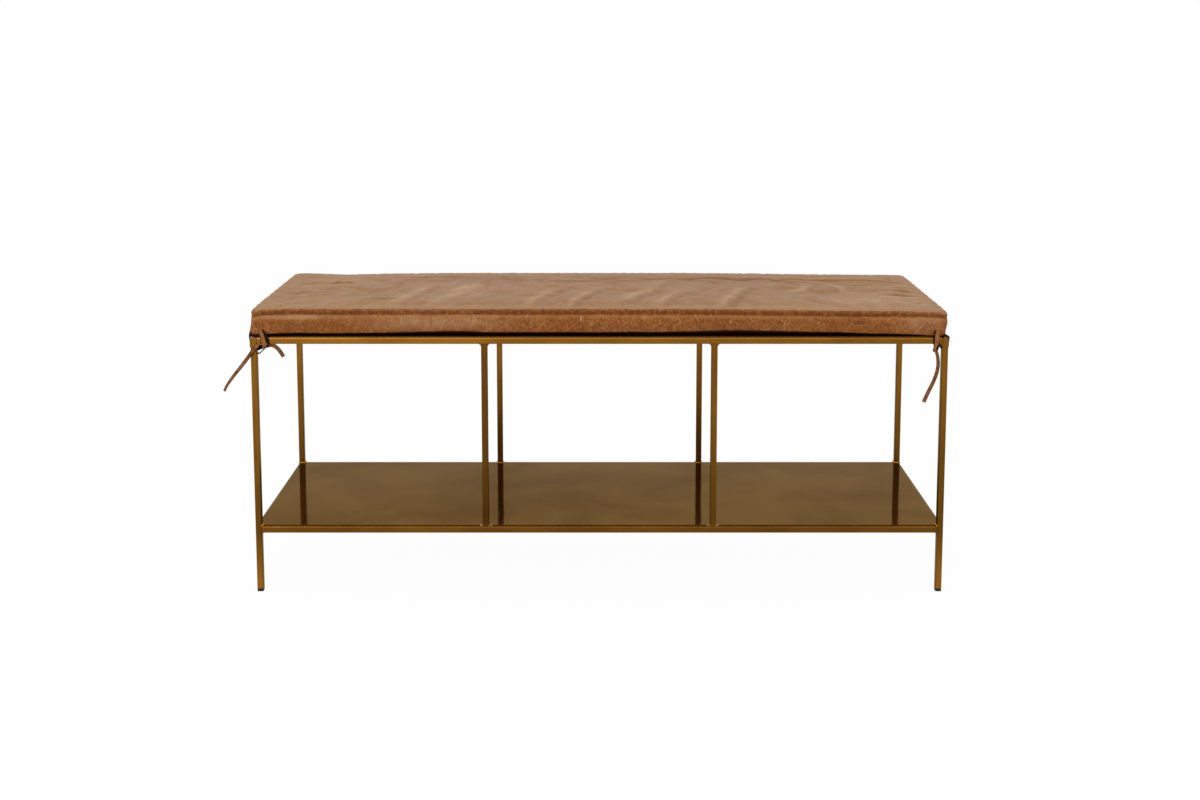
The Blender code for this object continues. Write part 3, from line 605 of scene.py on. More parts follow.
RIGHT_TIE = {
    "strap": (
        (7.9, 5, 427.6, 16.8, 5, 427.6), (8, 6.8, 421, 17.2, 6.6, 421), (8.8, 7.4, 413, 17.8, 7.2, 413),
        (10.6, 8, 406.6, 18.2, 7.8, 406.6), (13.2, 8.6, 401.4, 18.8, 8.4, 401.4),
        (14.2, 9.4, 398, 20, 9.2, 398.6), (14, 10, 395.2, 20.6, 9.8, 396.2),
        (13.6, 9, 393.4, 19.6, 8.6, 393.6), (14, 7, 394, 18.6, 6.6, 394.2),
        (14.4, 6.4, 396.2, 17.8, 6, 396.4),
    ),
    # The inner strip shows its near-black back beside the strap, a painted shade
    "inner": (
        (17.8, 6, 427, 15.4, 6.2, 427), (18.8, 6, 420, 15.8, 6.4, 420), (19.2, 6, 413, 16, 6.4, 413),
        (19.2, 6, 407, 16.2, 6.4, 407), (18.6, 5.4, 402.4, 16, 5.8, 402.2),
        (18, 2.8, 399.4, 15.6, 3.2, 399),
    ),
    "under": (
        (12.6, 8, 393.4, 15, 8.4, 396.8), (11, 7.2, 398, 12.8, 7.6, 402.2),
        (9, 6.4, 400.8, 9.8, 6.8, 405.8), (6.3, 3.6, 399.6, 6.7, 4.2, 404.6),
        (5.9, -1.4, 396.4, 6, -1, 402), (4, -6.2, 395.2, 4, -6.2, 401.2),
        (-1, -6.9, 394.6, -1, -6.9, 401.2), (-5.6, -5, 395.4, -5.6, -5, 402),
        (-6.1, 0, 400.2, -6.1, -3.4, 405.2), (-6.1, 1.6, 408, -6.1, -4.4, 409.6),
        (-6.9, 1.4, 414.6, -6.8, -4.8, 415.4), (-4.6, 0.8, 417, -4.6, -5.4, 417.4),
        (-0.4, -0.6, 418.8, -0.6, -7.2, 419), (4, -0.6, 420.4, 4, -7.2, 420.4),
    ),
    # The over lace stands in the gap between cushion and frame with its near-black side to the front,
    # painting the shade there
    "over": (
        (-3.6, 1.4, 418.4, -3.8, 1.8, 416.4), (-1.8, 2.2, 419.6, -1.8, 2.6, 416.2),
        (2, 3, 420.8, 2, 3.2, 416), (8.5, 3, 421.2, 8.5, 3.2, 416),
    ),
    "glint": (
        (-1.6, 4.4, 415.4, -1.8, 4.8, 416.6), (-3.4, 4.8, 416, -3.6, 5.2, 417.4),
        (-5.4, 4.6, 415.2, -6, 5, 416.4),
    ),
}


def make_ties(materials):
    """Each corner's laces. Where the pattern is mirrored, the edges swap so that the face stays outwards."""
    for end, x_side, pattern in (("left", -1, LEFT_TIE), ("right", 1, RIGHT_TIE)):
        for side, y_side in (("front", -1), ("back", 1)):
            leg = np.array((x_side * LEG_X, y_side * LEG_Y, 0))
            outwards = np.array((-x_side, y_side, 1)) * MM
            for part, stations in pattern.items():
                edges = [[leg + outwards * row[k:k + 3] for row in stations] for k in (0, 3)]
                if x_side * y_side > 0:
                    edges.reverse()
                piece = lace(f"lace_{part}_{side}_{end}", *edges, LACE_THICKNESS, materials)[0]
                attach(piece, "root")
                if part == "strap":
                    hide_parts(f"tie_{side}_{end}")


# Cushion

def grid_lines(half):
    """Grid coordinates from -half to half, close together near both ends."""
    steps = [0.0]
    step = FINE_STEP
    while steps[-1] < EDGE_ZONE:
        steps.append(steps[-1] + step)
        step = min(step * STEP_GROWTH, COARSE_STEP)
    inner = half - steps[-1]
    count = max(1, round(2 * inner / COARSE_STEP))
    low = [-half + along for along in steps]
    middle = [-inner + 2 * inner * k / count for k in range(1, count)]
    return np.array(low + middle + [-x for x in reversed(low)])


def rounded(x, y, half_x, half_y, radius):
    """Grid points moved so that the grid's square corners become round ones."""
    u = np.clip((np.abs(x) - (half_x - radius)) / radius, 0, 1)
    v = np.clip((np.abs(y) - (half_y - radius)) / radius, 0, 1)
    shift_x = radius * u * (np.sqrt(1 - v * v / 2) - 1)
    shift_y = radius * v * (np.sqrt(1 - u * u / 2) - 1)
    return x + np.sign(x) * shift_x, y + np.sign(y) * shift_y


def edge_distance(x, y, half_x, half_y):
    """About the distance to the nearest side, without a crease on the diagonals; 0 on the sides."""
    from_x = np.maximum(half_x - np.abs(x), 1e-9)
    from_y = np.maximum(half_y - np.abs(y), 1e-9)
    return (from_x**-4 + from_y**-4) ** -0.25


def cover_rows():
    """Inset, height, darkness and paleness of each line round the cover, from the bottom seam up. The
    darkness is a dark seam line spread into painted shade in the grooves and under the top's roll, and the
    paleness a painted highlight just below the top seam.
    """
    rows = [(BOTTOM_INSET + VALLEY_DEPTH, BOTTOM_SEAM, 0.6, 0.0)]
    for step in range(BAND_ROWS + 1):
        t = 0.5 - 0.5 * math.cos(math.pi * step / BAND_ROWS)
        height = BOTTOM_SEAM + 0.0005 + t * (TOP_SEAM - BOTTOM_SEAM - 0.0010)
        deepest, power = (TOP_INSET, TOP_POWER) if t > 0.5 else (BOTTOM_INSET, BOTTOM_POWER)
        inset = deepest * abs(2 * t - 1) ** power
        gap = min(height - BOTTOM_SEAM, TOP_SEAM - height)
        # pale: a painted highlight where the band turns up just below the top seam
        pale = smooth(0.0006, 0.0026, TOP_SEAM - height) * smooth(0.0095, 0.0040, TOP_SEAM - height)
        # dark: the seam line, spread out as painted shade in the groove, faint at the bottom seam
        dark = (1.0 if t > 0.5 else 0.15) * math.exp(-gap / 0.0010)
        rows.append((inset, height, dark, 0.6 * pale))
    rows.append((TOP_INSET + VALLEY_DEPTH, TOP_SEAM, 1.0, 0.0))
    roll_inset = TOP_INSET + ROLL_REACH * math.cos(ROLL_START)
    roll_middle = TOP_SEAM + 0.0004 - ROLL_RISE * math.sin(ROLL_START)
    for step in range(ROLL_ROWS):
        angle = ROLL_START + (math.pi / 2 - ROLL_START) * step / ROLL_ROWS
        height = roll_middle + ROLL_RISE * math.sin(angle)
        # the lower part of the top's roll gets painted shade
        dark = 0.8 * smooth(0.0062, 0.0038, height - TOP_SEAM)
        rows.append((roll_inset - ROLL_REACH * math.cos(angle), height, float(dark), 0.0))
    return rows, roll_inset, roll_middle + ROLL_RISE


def cover_mesh():
    """The whole cover as points and quads: bottom grid, side rows, top grid, on shared columns."""
    rows, top_inset, top_height = cover_rows()
    top_x, top_y = COVER_X - top_inset, COVER_Y - top_inset
    xs, ys = grid_lines(top_x), grid_lines(top_y)
    across, deep = len(xs), len(ys)
    gx, gy = np.meshgrid(xs, ys, indexing="ij")
    radius = CORNER_RADIUS - top_inset
    px, py = rounded(gx, gy, top_x, top_y, radius)
    distance = edge_distance(gx, gy, top_x, top_y)
    top_z = top_height + CROWN * (1 - (1 - np.minimum(distance / top_y, 1)) ** CROWN_POWER)

    border = [(i, 0) for i in range(across)]
    border += [(across - 1, j) for j in range(1, deep)]
    border += [(i, deep - 1) for i in range(across - 2, -1, -1)]
    border += [(0, j) for j in range(deep - 2, 0, -1)]
    rim = np.array([(px[i, j], py[i, j]) for i, j in border])
    centre = np.sign(rim) * (np.array((top_x, top_y)) - radius)
    out = rim - centre
    flat_x = np.abs(rim[:, 0]) < top_x - radius - 1e-6
    flat_y = np.abs(rim[:, 1]) < top_y - radius - 1e-6
    out[flat_x, 0] = 0
    out[flat_y, 1] = 0
    out /= np.linalg.norm(out, axis=1)[:, None]
    count = len(border)

    stretch = ((COVER_X - BOTTOM_INSET) / top_x, (COVER_Y - BOTTOM_INSET) / top_y)
    under_radius = CORNER_RADIUS - BOTTOM_INSET
    bx, by = rounded(gx * stretch[0], gy * stretch[1], top_x * stretch[0], top_y * stretch[1], under_radius)
    under = edge_distance(gx * stretch[0], gy * stretch[1], top_x * stretch[0], top_y * stretch[1])
    share = 1 - np.minimum(under / UNDER_RADIUS, 1)
    rise = BOTTOM_SEAM - 0.0005 - COVER_LOW.z
    bottom_z = COVER_LOW.z + rise * share**1.7

    points, seam, painted_highlight, kind = [], [], [], []
    for i in range(across):
        for j in range(deep):
            points.append((bx[i, j], by[i, j], bottom_z[i, j]))
            seam.append(float(np.exp(-under[i, j] / 0.0012)))
            painted_highlight.append(0.0)
            kind.append(0)
    side_start = len(points)
    for inset, height, dark, pale in rows:
        ring = rim + out * (top_inset - inset)
        for x, y in ring:
            points.append((x, y, height))
        seam += [dark] * count
        painted_highlight += [float(pale)] * count
        kind += [1] * count
    top_start = len(points)
    for i in range(across):
        for j in range(deep):
            points.append((px[i, j], py[i, j], top_z[i, j]))
            seam.append(0.0)
            # a painted sheen along the rounded edge of the top
            painted_highlight.append(float(0.5 * np.exp(-((distance[i, j] / 0.006) ** 2))))
            kind.append(2)

    def grid(start, i, j):
        return start + i * deep + j

    faces = []
    for i in range(across - 1):
        for j in range(deep - 1):
            a, b = grid(0, i, j), grid(0, i + 1, j)
            c, d = grid(0, i + 1, j + 1), grid(0, i, j + 1)
            faces.append((a, d, c, b))
            faces.append(tuple(top_start + index for index in (a, b, c, d)))
    lines = [[grid(0, i, j) for i, j in border]]
    lines += [list(range(side_start + r * count, side_start + (r + 1) * count)) for r in range(len(rows))]
    lines += [[grid(top_start, i, j) for i, j in border]]
    for lower, upper in zip(lines, lines[1:]):
        for k in range(count):
            n = (k + 1) % count
            faces.append((lower[k], lower[n], upper[n], upper[k]))
    points = np.array(points)
    kind = np.array(kind)
    middle = (BOTTOM_SEAM + TOP_SEAM) / 2
    groove = (kind == 1) & (points[:, 1] > COVER_Y / 2) & (np.abs(points[:, 0]) < ZIP_END)
    groove = (groove & (np.abs(points[:, 2] - middle) < 0.0010)).astype(float)
    return points, faces, np.maximum(seam, groove), np.array(painted_highlight), kind, groove


def corner_pull(points):
    """The ties draw the corners of the cover down, and the foam's corners give most at the top."""
    x, y, z = points.T
    away = (np.abs(COVER_X - np.abs(x)) + np.abs(COVER_Y - np.abs(y))) / 0.090
    near = np.clip(1 - away, 0, 1) ** 2
    share = np.clip((z - BOTTOM_SEAM) / (TOP_SEAM - BOTTOM_SEAM), 0, 1)
    top_drop = np.where(y < 0, 0.0022, 0.0008)
    drop = 0.0040 + share * (top_drop - 0.0040)
    corner = np.hypot(COVER_X - 0.004 - np.abs(x), COVER_Y - 0.004 - np.abs(y))
    sink = np.where(y < 0, 0.0026, 0.0006) * np.exp(-((corner / 0.0105) ** 2)) * share**2
    return near * np.minimum(drop, (z - COVER_LOW.z) * 0.55) + sink


def set_values(piece, name, values):
    attribute = piece.data.attributes.get(name) or piece.data.attributes.new(name, "FLOAT", "POINT")
    attribute.data.foreach_set("value", np.asarray(values, np.float32))


def values_of(piece, name):
    values = np.zeros(len(piece.data.vertices), np.float32)
    piece.data.attributes[name].data.foreach_get("value", values)
    return values


def rows_of(piece, key="co"):
    """The place (or normal) of every vertex."""
    flat = np.zeros(len(piece.data.vertices) * 3, np.float32)
    piece.data.vertices.foreach_get(key, flat)
    return flat.reshape(-1, 3).astype(float)


def set_places(piece, points):
    piece.data.vertices.foreach_set("co", points.astype(np.float32).ravel())
    piece.data.update()


def settle(piece, hold):
    """Cloth simulation: the cover, cut slightly large, is pressed outwards while its seams hold it."""
    group = piece.vertex_groups.new(name="hold")
    hold = np.round(hold * 20) / 20
    for level in np.unique(hold):
        group.add([int(i) for i in np.flatnonzero(hold == level)], float(level), "REPLACE")
    before = rows_of(piece)
    modifier = piece.modifiers.new("cloth", "CLOTH")
    cloth = {
        "quality": 5, "mass": 0.35, "tension_stiffness": 30, "compression_stiffness": 30,
        "shear_stiffness": 12, "bending_stiffness": 2.5, "use_pressure": True, "uniform_pressure_force": 1.2,
        "vertex_group_mass": "hold", "pin_stiffness": 1.0, "shrink_min": -0.016,
    }
    for key, value in cloth.items():
        setattr(modifier.settings, key, value)
    modifier.settings.effector_weights.gravity = 0
    modifier.collision_settings.use_collision = False
    modifier.point_cache.frame_start = 1
    modifier.point_cache.frame_end = SETTLE_FRAMES
    scene = bpy.context.scene
    for step in range(1, SETTLE_FRAMES + 1):
        scene.frame_set(step)
    move = rows_of(piece.evaluated_get(bpy.context.evaluated_depsgraph_get())) - before
    piece.modifiers.remove(modifier)
    scene.frame_set(1)
    size = np.linalg.norm(move, axis=1)
    move *= (np.tanh(size / SETTLE_CAP) * SETTLE_CAP / np.maximum(size, 1e-9))[:, None]
    set_places(piece, before + move)


def waves(along, lengths, seed):
    """A repeatable wavy line: sines of several wavelengths with seeded phases."""
    random = np.random.default_rng(seed)
    total = np.zeros_like(along)
    for length in lengths:
        swell = np.sin(2 * math.pi * (along / (length * 3.7) + random.random()))
        total += np.sin(2 * math.pi * (along / length + random.random())) * (0.65 + 0.35 * swell)
    return total / len(lengths)


# Creases in the top panel, in millimetres: the line that each follows from above, its width, its depth, and
# how far beside it the leather rises into a ridge. Those of the front band are as seen from the front.
CREASES = (
    (((60, 81), (160, 88), (250, 90), (330, 85), (352, 82)), 5, 2.6, 9),
    (((270, 98), (340, 92), (420, 86), (500, 85), (535, 92)), 6.2, 2.8, 10.5),
    (((300, 64), (390, 58), (470, 62)), 6, 1.3, 9),
    (((-488, 32), (-470, 38), (-452, 50), (-446, 72)), 5, 3.4, 8.5),
    (((-458, 60), (-440, 48), (-414, 44)), 4.8, 2.6, 8),
    (((-486, -84), (-468, -75), (-440, -70)), 4.6, 3, -8),
    (((-512, -60), (-496, -52), (-478, -52)), 4.6, 1, -7.5),
    (((-312, -164), (-296, -105), (-280, -45), (-262, 30)), 10.5, 2.2, 18),
    (((-250, -168), (-222, -95), (-196, -10), (-180, 70)), 14, 1.8, 24),
    (((198, -184), (214, -150), (236, -85), (256, -5)), 8.5, 3.6, 14.5),
    (((46, -160), (70, -105), (98, -45), (122, 30)), 11, 2.2, 18),
    (((104, -172), (122, -120), (146, -60)), 10, 1.6, 16),
    (((-98, -168), (-82, -100), (-52, -10)), 10, 2.4, 16.5),
    (((-40, -172), (-24, -120), (2, -50)), 7.5, 2, 12.5),
    (((372, 48), (392, 10), (398, -30)), 7.5, 1.5, 11.5),
    (((330, -60), (356, -20), (372, 30)), 10.5, 1.5, 16.5),
    (((470, -60), (502, -48), (536, -52)), 5, 1.4, 8), (((476, -92), (508, -80), (538, -88)), 5, 1.2, 8),
    (((492, -12), (518, -4), (538, -12)), 5, 1.7, 8), (((486, 30), (514, 36), (536, 30)), 5, 1.4, 8),
    (((-400, -120), (-360, -112), (-310, -118)), 6, 1.2, 9),
    (((-380, 110), (-320, 104), (-240, 108)), 7, 1.2, 10), (((-80, 60), (-10, 52), (60, 58)), 7, 1.2, 11),
)
BAND_CREASES = (
    (((-30, 452), (-32, 446), (-31, 439)), 2.2, 0.8, 3.6), (((1, 453), (2, 448), (1, 442)), 2.2, 0.7, 3.6),
    (((-22, 438), (-14, 434), (-6, 429)), 2.2, 0.7, 3.4),
    (((34, 441), (38, 436), (42, 431)), 2.2, 0.7, 3.4),
    (((390, 443), (408, 440), (426, 441)), 2, 0.8, -3.4),
    (((310, 447), (340, 443), (372, 442)), 2.2, 0.7, -3.6),
    (((228, 451), (236, 442), (232, 431)), 2.6, 0.9, 4.2),
    (((168, 451), (172, 443), (166, 432)), 2.4, 0.7, 4),
    (((-205, 452), (-201, 445), (-206, 436)), 2.6, 0.8, 4.2),
    (((-118, 452), (-112, 446), (-114, 438)), 2.6, 0.7, 4.2),
    (((-320, 450), (-316, 442), (-318, 434)), 2.6, 0.6, 4.2),
    (((268, 452), (262, 444), (272, 436)), 2.4, 0.7, 4),
)
# Broad paler and darker areas: middle and reach in millimetres, and strength. On the top they are partly
# painted
# light: a painted sheen along the front edge, paler towards the front and darker towards the back; on the
# band the narrow pale strip at the left end below the top seam is a painted highlight.
TOP_PATCHES = (
    (-450, -150, 120, 40, 0.45), (440, -130, 120, 60, 0.6), (100, 90, 250, 45, -0.6),
    (-215, -30, 30, 60, 0.45), (-420, 60, 100, 50, 0.3), (-200, 90, 90, 40, -0.5),
    (-220, -168, 150, 20, 0.35), (240, -168, 170, 22, 0.5), (470, -90, 60, 30, 0.35),
)
BAND_PATCHES = (
    (-260, 441, 110, 12, 0.75), (510, 442, 35, 12, 0.6), (220, 440, 110, 14, -0.45),
    (-475, 448.5, 50, 4, 1.2), (-460, 432, 50, 7, -0.35), (30, 431, 60, 8, -0.4), (360, 441, 50, 8, -0.3),
)


def line_offset(x, y, line):
    """Signed distance from a line of points, and how far along it the nearest place is, 0 to 1."""
    line = np.array(smooth_route(np.array(line) * MM, 6))
    best, side, share = np.full(len(x), 1e9), np.zeros(len(x)), np.zeros(len(x))
    for index, (a, b) in enumerate(zip(line, line[1:])):
        run = b - a
        t = np.clip(((x - a[0]) * run[0] + (y - a[1]) * run[1]) / (run @ run), 0, 1)
        dx, dy = x - a[0] - t * run[0], y - a[1] - t * run[1]
        far = np.hypot(dx, dy)
        closer = far < best
        best = np.where(closer, far, best)
        side = np.where(closer, np.sign(run[0] * dy - run[1] * dx), side)
        share = np.where(closer, (index + t) / (len(line) - 1), share)
    return best * side, share


def crease_lift(x, y, creases):
    """Height that the creases add, and how pale (above 0) or dark (below 0) they are: painted light on their
    ridges and painted shade in their valleys.
    """
    lift, shade = np.zeros(len(x)), np.zeros(len(x))
    for line, *sizes in creases:
        width, depth, ridge = (size * MM for size in sizes)
        offset, share = line_offset(x, y, line)
        fade = np.sin(math.pi * np.clip(share, 0.02, 0.98)) ** 0.6
        valley = np.exp(-((offset / width) ** 2))
        crest = np.exp(-(((offset - ridge) / (width * 1.1)) ** 2))
        lift += depth * fade * (0.8 * crest - valley)
        sharp = float(smooth(0.0150, 0.0060, width))
        shade += min(depth / 0.0015, 1.0) * fade * (crest - (0.15 + 0.85 * sharp) * valley)
    return lift, shade


def patch_tone(x, y, patches):
    """Broad paler (above 0) and darker (below 0) areas of the leather, partly painted light and shade."""
    tone = np.zeros(len(x))
    for middle_x, middle_y, reach_x, reach_y, strength in patches:
        tone += strength * mound(x, middle_x * MM, reach_x * MM) * mound(y, middle_y * MM, reach_y * MM)
    return tone


def mound(value, middle, reach):
    """1 at the middle, falling off softly within about the reach."""
    return np.exp(-(((value - middle) / reach) ** 2))


def hand_work(points, normals, kind):
    """What the cover has after the simulation: puckers at the seams, soft hollows, creases, and its hang."""
    x, y, z = points.T
    along = np.where(np.abs(x) / COVER_X > np.abs(y) / COVER_Y, y + 3.0, x + np.where(y > 0, 1.37, 0))
    top = kind > 1.5
    side = (kind > 0.5) & (kind < 1.5)
    front = side & (y < 0)
    above = z - BOTTOM_SEAM
    height = np.clip(above / (TOP_SEAM - BOTTOM_SEAM), 0, 1)
    arch = np.sin(height * math.pi)

    # The sides pucker at both seams and swell between them
    top_pucker = waves(along, (0.0115, 0.0165, 0.0262), 3) * np.exp(-np.abs(TOP_SEAM - z - 0.004) / 0.006)
    low_pucker = waves(along, (0.0140, 0.0230, 0.0370), 9) * np.exp(-np.abs(above - 0.003) / 0.007)
    belly = waves(along, (0.0620, 0.1050, 0.1730), 5) * arch
    move = np.where(side, 0.00048 * top_pucker + 0.00050 * low_pucker + 0.00085 * belly, 0)
    points = points + normals * move[:, None]

    # The top has hollows, faint slanting waves, puckers along its edge, and creases
    from_edge = edge_distance(x, y, COVER_X, COVER_Y)
    inside = smooth(0.006, 0.030, from_edge)
    hollows = 0.0009 * waves(x + 0.35 * y, (0.170, 0.290, 0.410), 21) * waves(y - 0.2 * x, (0.160, 0.260), 22)
    slants = 0.00028 * waves(x * 0.94 - y * 0.34, (0.052, 0.083), 23)
    edge_pucker = 0.00035 * waves(along, (0.0190, 0.0310, 0.0520), 31) * mound(from_edge, 0.012, 0.010)
    lift, shade = crease_lift(x, y, CREASES)
    points[:, 2] += np.where(top, inside * (hollows + slants + lift) + edge_pucker, 0)
    band_lift, band_shade = crease_lift(x, z, BAND_CREASES)
    points[:, 1] -= np.where(front, band_lift, 0)

    # The lower seam hangs unevenly: it stands highest right of the middle and sags towards both ends
    sway = 0.00075 * waves(along, (0.085, 0.140, 0.230), 41)
    rise = 0.0026 * mound(x, 0.225, 0.110) - 0.0004 - 0.0032 * smooth(0.34, 0.50, x)
    rise += 0.0015 * mound(x, -0.240, 0.050) - 0.0012 * smooth(-0.26, -0.42, x)
    low = smooth(0.012, 0.0, np.abs(above)) * (z > COVER_LOW.z + 0.001)
    points[:, 2] += (sway + rise) * low

    # The ties draw the ends in, and the cushion is flatter at its right end and at its left back corner
    tuck = 0.0034 * smooth(0.490, 0.546, x) + 0.0020 * smooth(-0.490, -0.546, x)
    points[:, 0] -= tuck * smooth(0.0, -0.120, y) * smooth(0.016, 0.0, above)
    points[:, 0] -= 0.0013 * np.sign(x) * smooth(0.540, 0.552, np.abs(x)) * np.sqrt(arch.clip(0))
    points[:, 2] -= 0.0036 * smooth(0.12, 0.50, x) * height
    dip = 0.0030 * mound(x, -0.455, 0.055) + 0.0010 * mound(x, -0.36, 0.070)
    points[:, 2] -= dip * smooth(0.04, 0.17, y) * height
    # The shade values are painted light: pale on crease ridges, painted shade in the valleys, and broad
    # patches
    shade = inside * (shade + patch_tone(x, y, TOP_PATCHES))
    band_shade += patch_tone(x, z, BAND_PATCHES)
    return points, np.clip(np.where(top, shade, np.where(front, band_shade, 0)), -1, 1)


def make_cushion(leather):
    points, faces, seam, painted_highlight, kind, groove = cover_mesh()
    points[:, 2] -= corner_pull(points)
    along = np.cos(math.pi * points[:, 0] / (2 * COVER_X))
    pull = 0.0015 * along * (np.abs(points[:, 1]) / COVER_Y) ** 4
    points[:, 1] -= np.sign(points[:, 1]) * pull
    cushion = new_piece("cushion_cover", points, faces, [leather])
    for key, values in {"seam": seam, "painted_highlight": painted_highlight, "kind": kind, "groove": groove}.items():
        set_values(cushion, key, values)
    from_edge = edge_distance(points[:, 0], points[:, 1], COVER_X, COVER_Y)
    free = smooth(0.010, 0.045, from_edge)
    hold = np.where(kind == 0, 0.6, np.where(kind == 1, 0.30, 0.60 - 0.52 * free))
    settle(cushion, np.where(seam > 0.9, 1.0, hold))
    divide = cushion.modifiers.new("divide", "SUBSURF")
    divide.levels = 1
    divide.render_levels = 1
    evaluated = cushion.evaluated_get(bpy.context.evaluated_depsgraph_get())
    mesh = bpy.data.meshes.new_from_object(evaluated)
    cushion.modifiers.remove(divide)
    cushion.data = mesh
    mesh.name = "cushion_cover"
    worked, shade = hand_work(rows_of(cushion), rows_of(cushion, "normal"), values_of(cushion, "kind"))
    worked[:, 1] -= ZIP_DEPTH * smooth(0.1, 0.6, values_of(cushion, "groove"))
    set_places(cushion, worked)
    set_values(cushion, "crease_shade_and_tone", shade)
    mesh.shade_smooth()
    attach(cushion, "root")
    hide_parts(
        "cushion_foam", "cushion_top_panel", "cushion_bottom_panel", "cushion_front_band",
        "cushion_back_band",
    )
    return cushion


# Zip

def zip_line(cushion):
    """Places along the bottom of the zip's groove, a tooth apart."""
    line = rows_of(cushion)[values_of(cushion, "groove") > 0.999]
    line = line[np.argsort(line[:, 0])]
    xs = np.arange(-ZIP_END + 0.004, ZIP_END - 0.004, TOOTH_PITCH)
    columns = [xs]
    for k in (1, 2):
        level = np.pad(np.interp(xs, line[:, 0], line[:, k]), 6, "edge")
        columns.append(np.convolve(level, np.ones(13) / 13, "valid"))
    return np.stack(columns, axis=1)


def join_rings(bm, lower, upper):
    for a, b, c, d in zip(lower, lower[1:] + lower[:1], upper[1:] + upper[:1], upper):
        bm.faces.new((a, b, c, d))


def wedge(bm, centre, size, shrink):
    """A small block whose face towards +Y is smaller by shrink."""
    corners = []
    for out in (-1, 1):
        less = shrink if out > 0 else 0
        half_x, half_z = size[0] / 2 - less, size[2] / 2 - less
        for a, b in ((-1, -1), (1, -1), (1, 1), (-1, 1)):
            place = (centre[0] + a * half_x, centre[1] + out * size[1] / 2, centre[2] + b * half_z)
            corners.append(bm.verts.new(place))
    bm.faces.new(corners[:4])
    bm.faces.new(reversed(corners[4:]))
    for k in range(4):
        n = (k + 1) % 4
        bm.faces.new((corners[k], corners[k + 4], corners[n + 4], corners[n]))


def pull_tab(bm, top, length, width, thickness):
    """The slider's pull: a long rounded plate with an oval hole at its upper end."""
    rings = []
    for out in (-1, 1):
        for scale in (1.0, 0.0):
            ring = []
            for k in range(TAB_POINTS):
                angle = 2 * math.pi * k / TAB_POINTS
                cos, sin = math.cos(angle), math.sin(angle)
                if scale:
                    swell = (abs(cos) ** 5 + abs(sin) ** 5) ** -0.2
                    x, z = cos * width / 2 * swell, -length / 2 + sin * length / 2 * swell
                else:
                    x, z = cos * width * 0.25, -width * 0.62 + sin * width * 0.32
                ring.append(bm.verts.new((top[0] + x, top[1] + out * thickness / 2, top[2] + z)))
            rings.append(ring)
    for first, second in ((0, 1), (3, 2), (2, 0), (1, 3)):
        join_rings(bm, rings[first], rings[second])


def make_zip(cushion, tape, metal):
    """Two tapes under the edges of the leather, teeth that meet, end stops and a slider with its pull."""
    line = zip_line(cushion)
    coarse = line[::6]
    for name, low, high in (("zip_tape_lower", -0.0026, -0.0002), ("zip_tape_upper", 0.0002, 0.0026)):
        edges = [[place + (0, 0.0004, shift) for place in coarse] for shift in (low, high)]
        piece = lace(name, *edges, 0.0005, [tape, tape], steps=2)[0]
        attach(piece, "root")
        if name == "zip_tape_lower":
            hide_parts("cushion_zip")
    bm = bmesh.new()
    for k, (x, y, z) in enumerate(line):
        side = 1 if k % 2 else -1
        wedge(bm, (x, y + 0.0010, z + side * 0.0005), (0.0010, 0.0009, 0.0022), 0.00015)
    for x, y, z in (line[0] - (0.0016, 0, 0), line[-1] + (0.0016, 0, 0)):
        wedge(bm, (x, y + 0.0011, z), (0.0016, 0.0012, 0.0040), 0.0002)
    x, y, z = line[8]
    wedge(bm, (x, y + 0.0019, z), (0.0092, 0.0010, 0.0062), 0.0006)
    wedge(bm, (x - 0.0016, y + 0.0019, z), (0.0056, 0.0010, 0.0074), 0.0006)
    for shift in (-0.0026, 0.0026):
        wedge(bm, (x + shift, y + 0.0028, z), (0.0012, 0.0016, 0.0016), 0.0002)
    wedge(bm, (x, y + 0.0038, z), (0.0066, 0.0007, 0.0016), 0.0002)
    pull_tab(bm, (x, y + 0.0031, z + 0.0014), 0.0170, 0.0042, 0.0007)
    small_parts("zip_metal", bm, metal, smooth=False)


def make_stitches(cushion, thread):
    """A row of stitches along the leather above and below the zip."""
    line = zip_line(cushion)
    bpy.context.view_layer.update()
    bm = bmesh.new()
    for shift in (-0.0058, 0.0058):
        for x in np.arange(line[0][0], line[-1][0], STITCH_PITCH):
            z = np.interp(x, line[:, 0], line[:, 2]) + shift
            ends = []
            for step in (-1, 0, 1):
                start = (x + step * STITCH_PITCH * 0.34, 0.25, z)
                place, normal = cushion.ray_cast(start, (0, -1, 0))[1:3]
                ends.append(place + normal * (0.00035 if step == 0 else -0.0001))
            lump_between(bm, ends, 0.00042)
    small_parts("zip_stitches", bm, thread)


def lump_between(bm, places, radius):
    """One stitch: a short round thread that dips into the leather at both ends."""
    rings = []
    for place, share in zip(places, (0.6, 1.0, 0.6)):
        ring = []
        for k in range(6):
            angle = math.pi * k / 3
            offset = Vector((0, math.cos(angle), math.sin(angle))) * radius * share
            ring.append(bm.verts.new(place + offset))
        rings.append(ring)
    for lower, upper in zip(rings, rings[1:]):
        join_rings(bm, lower, upper)
    bm.faces.new(rings[0])
    bm.faces.new(rings[-1])


# Finishes on the pieces of the frame

def lump(bm, centre, size, seed):
    """A small uneven ball, as a weld leaves it."""
    random = np.random.default_rng(seed)
    made = bmesh.ops.create_icosphere(bm, subdivisions=2, radius=1)["verts"]
    tilt = random.normal(size=(3, 3))
    for vertex in made:
        place = np.array(vertex.co)
        first, second = float(place @ tilt[0]), float(place @ tilt[1])
        swell = 1 + 0.10 * math.sin(3.1 * first) + 0.07 * math.sin(4.7 * second)
        vertex.co = Vector(centre) + Vector([a * b * swell for a, b in zip(place, size)])


def bead(bm, start, stop, radius, seed):
    """A weld bead: lumps that overlap in a row."""
    start, stop = np.array(start), np.array(stop)
    count = max(2, round(float(np.linalg.norm(stop - start)) / (radius * 0.95)) + 1)
    along = np.abs(unit(stop - start))
    for k in range(count):
        centre = start + (stop - start) * k / (count - 1)
        size = radius * (1 + 0.25 * along)
        lump(bm, centre, size, seed * 97 + k)


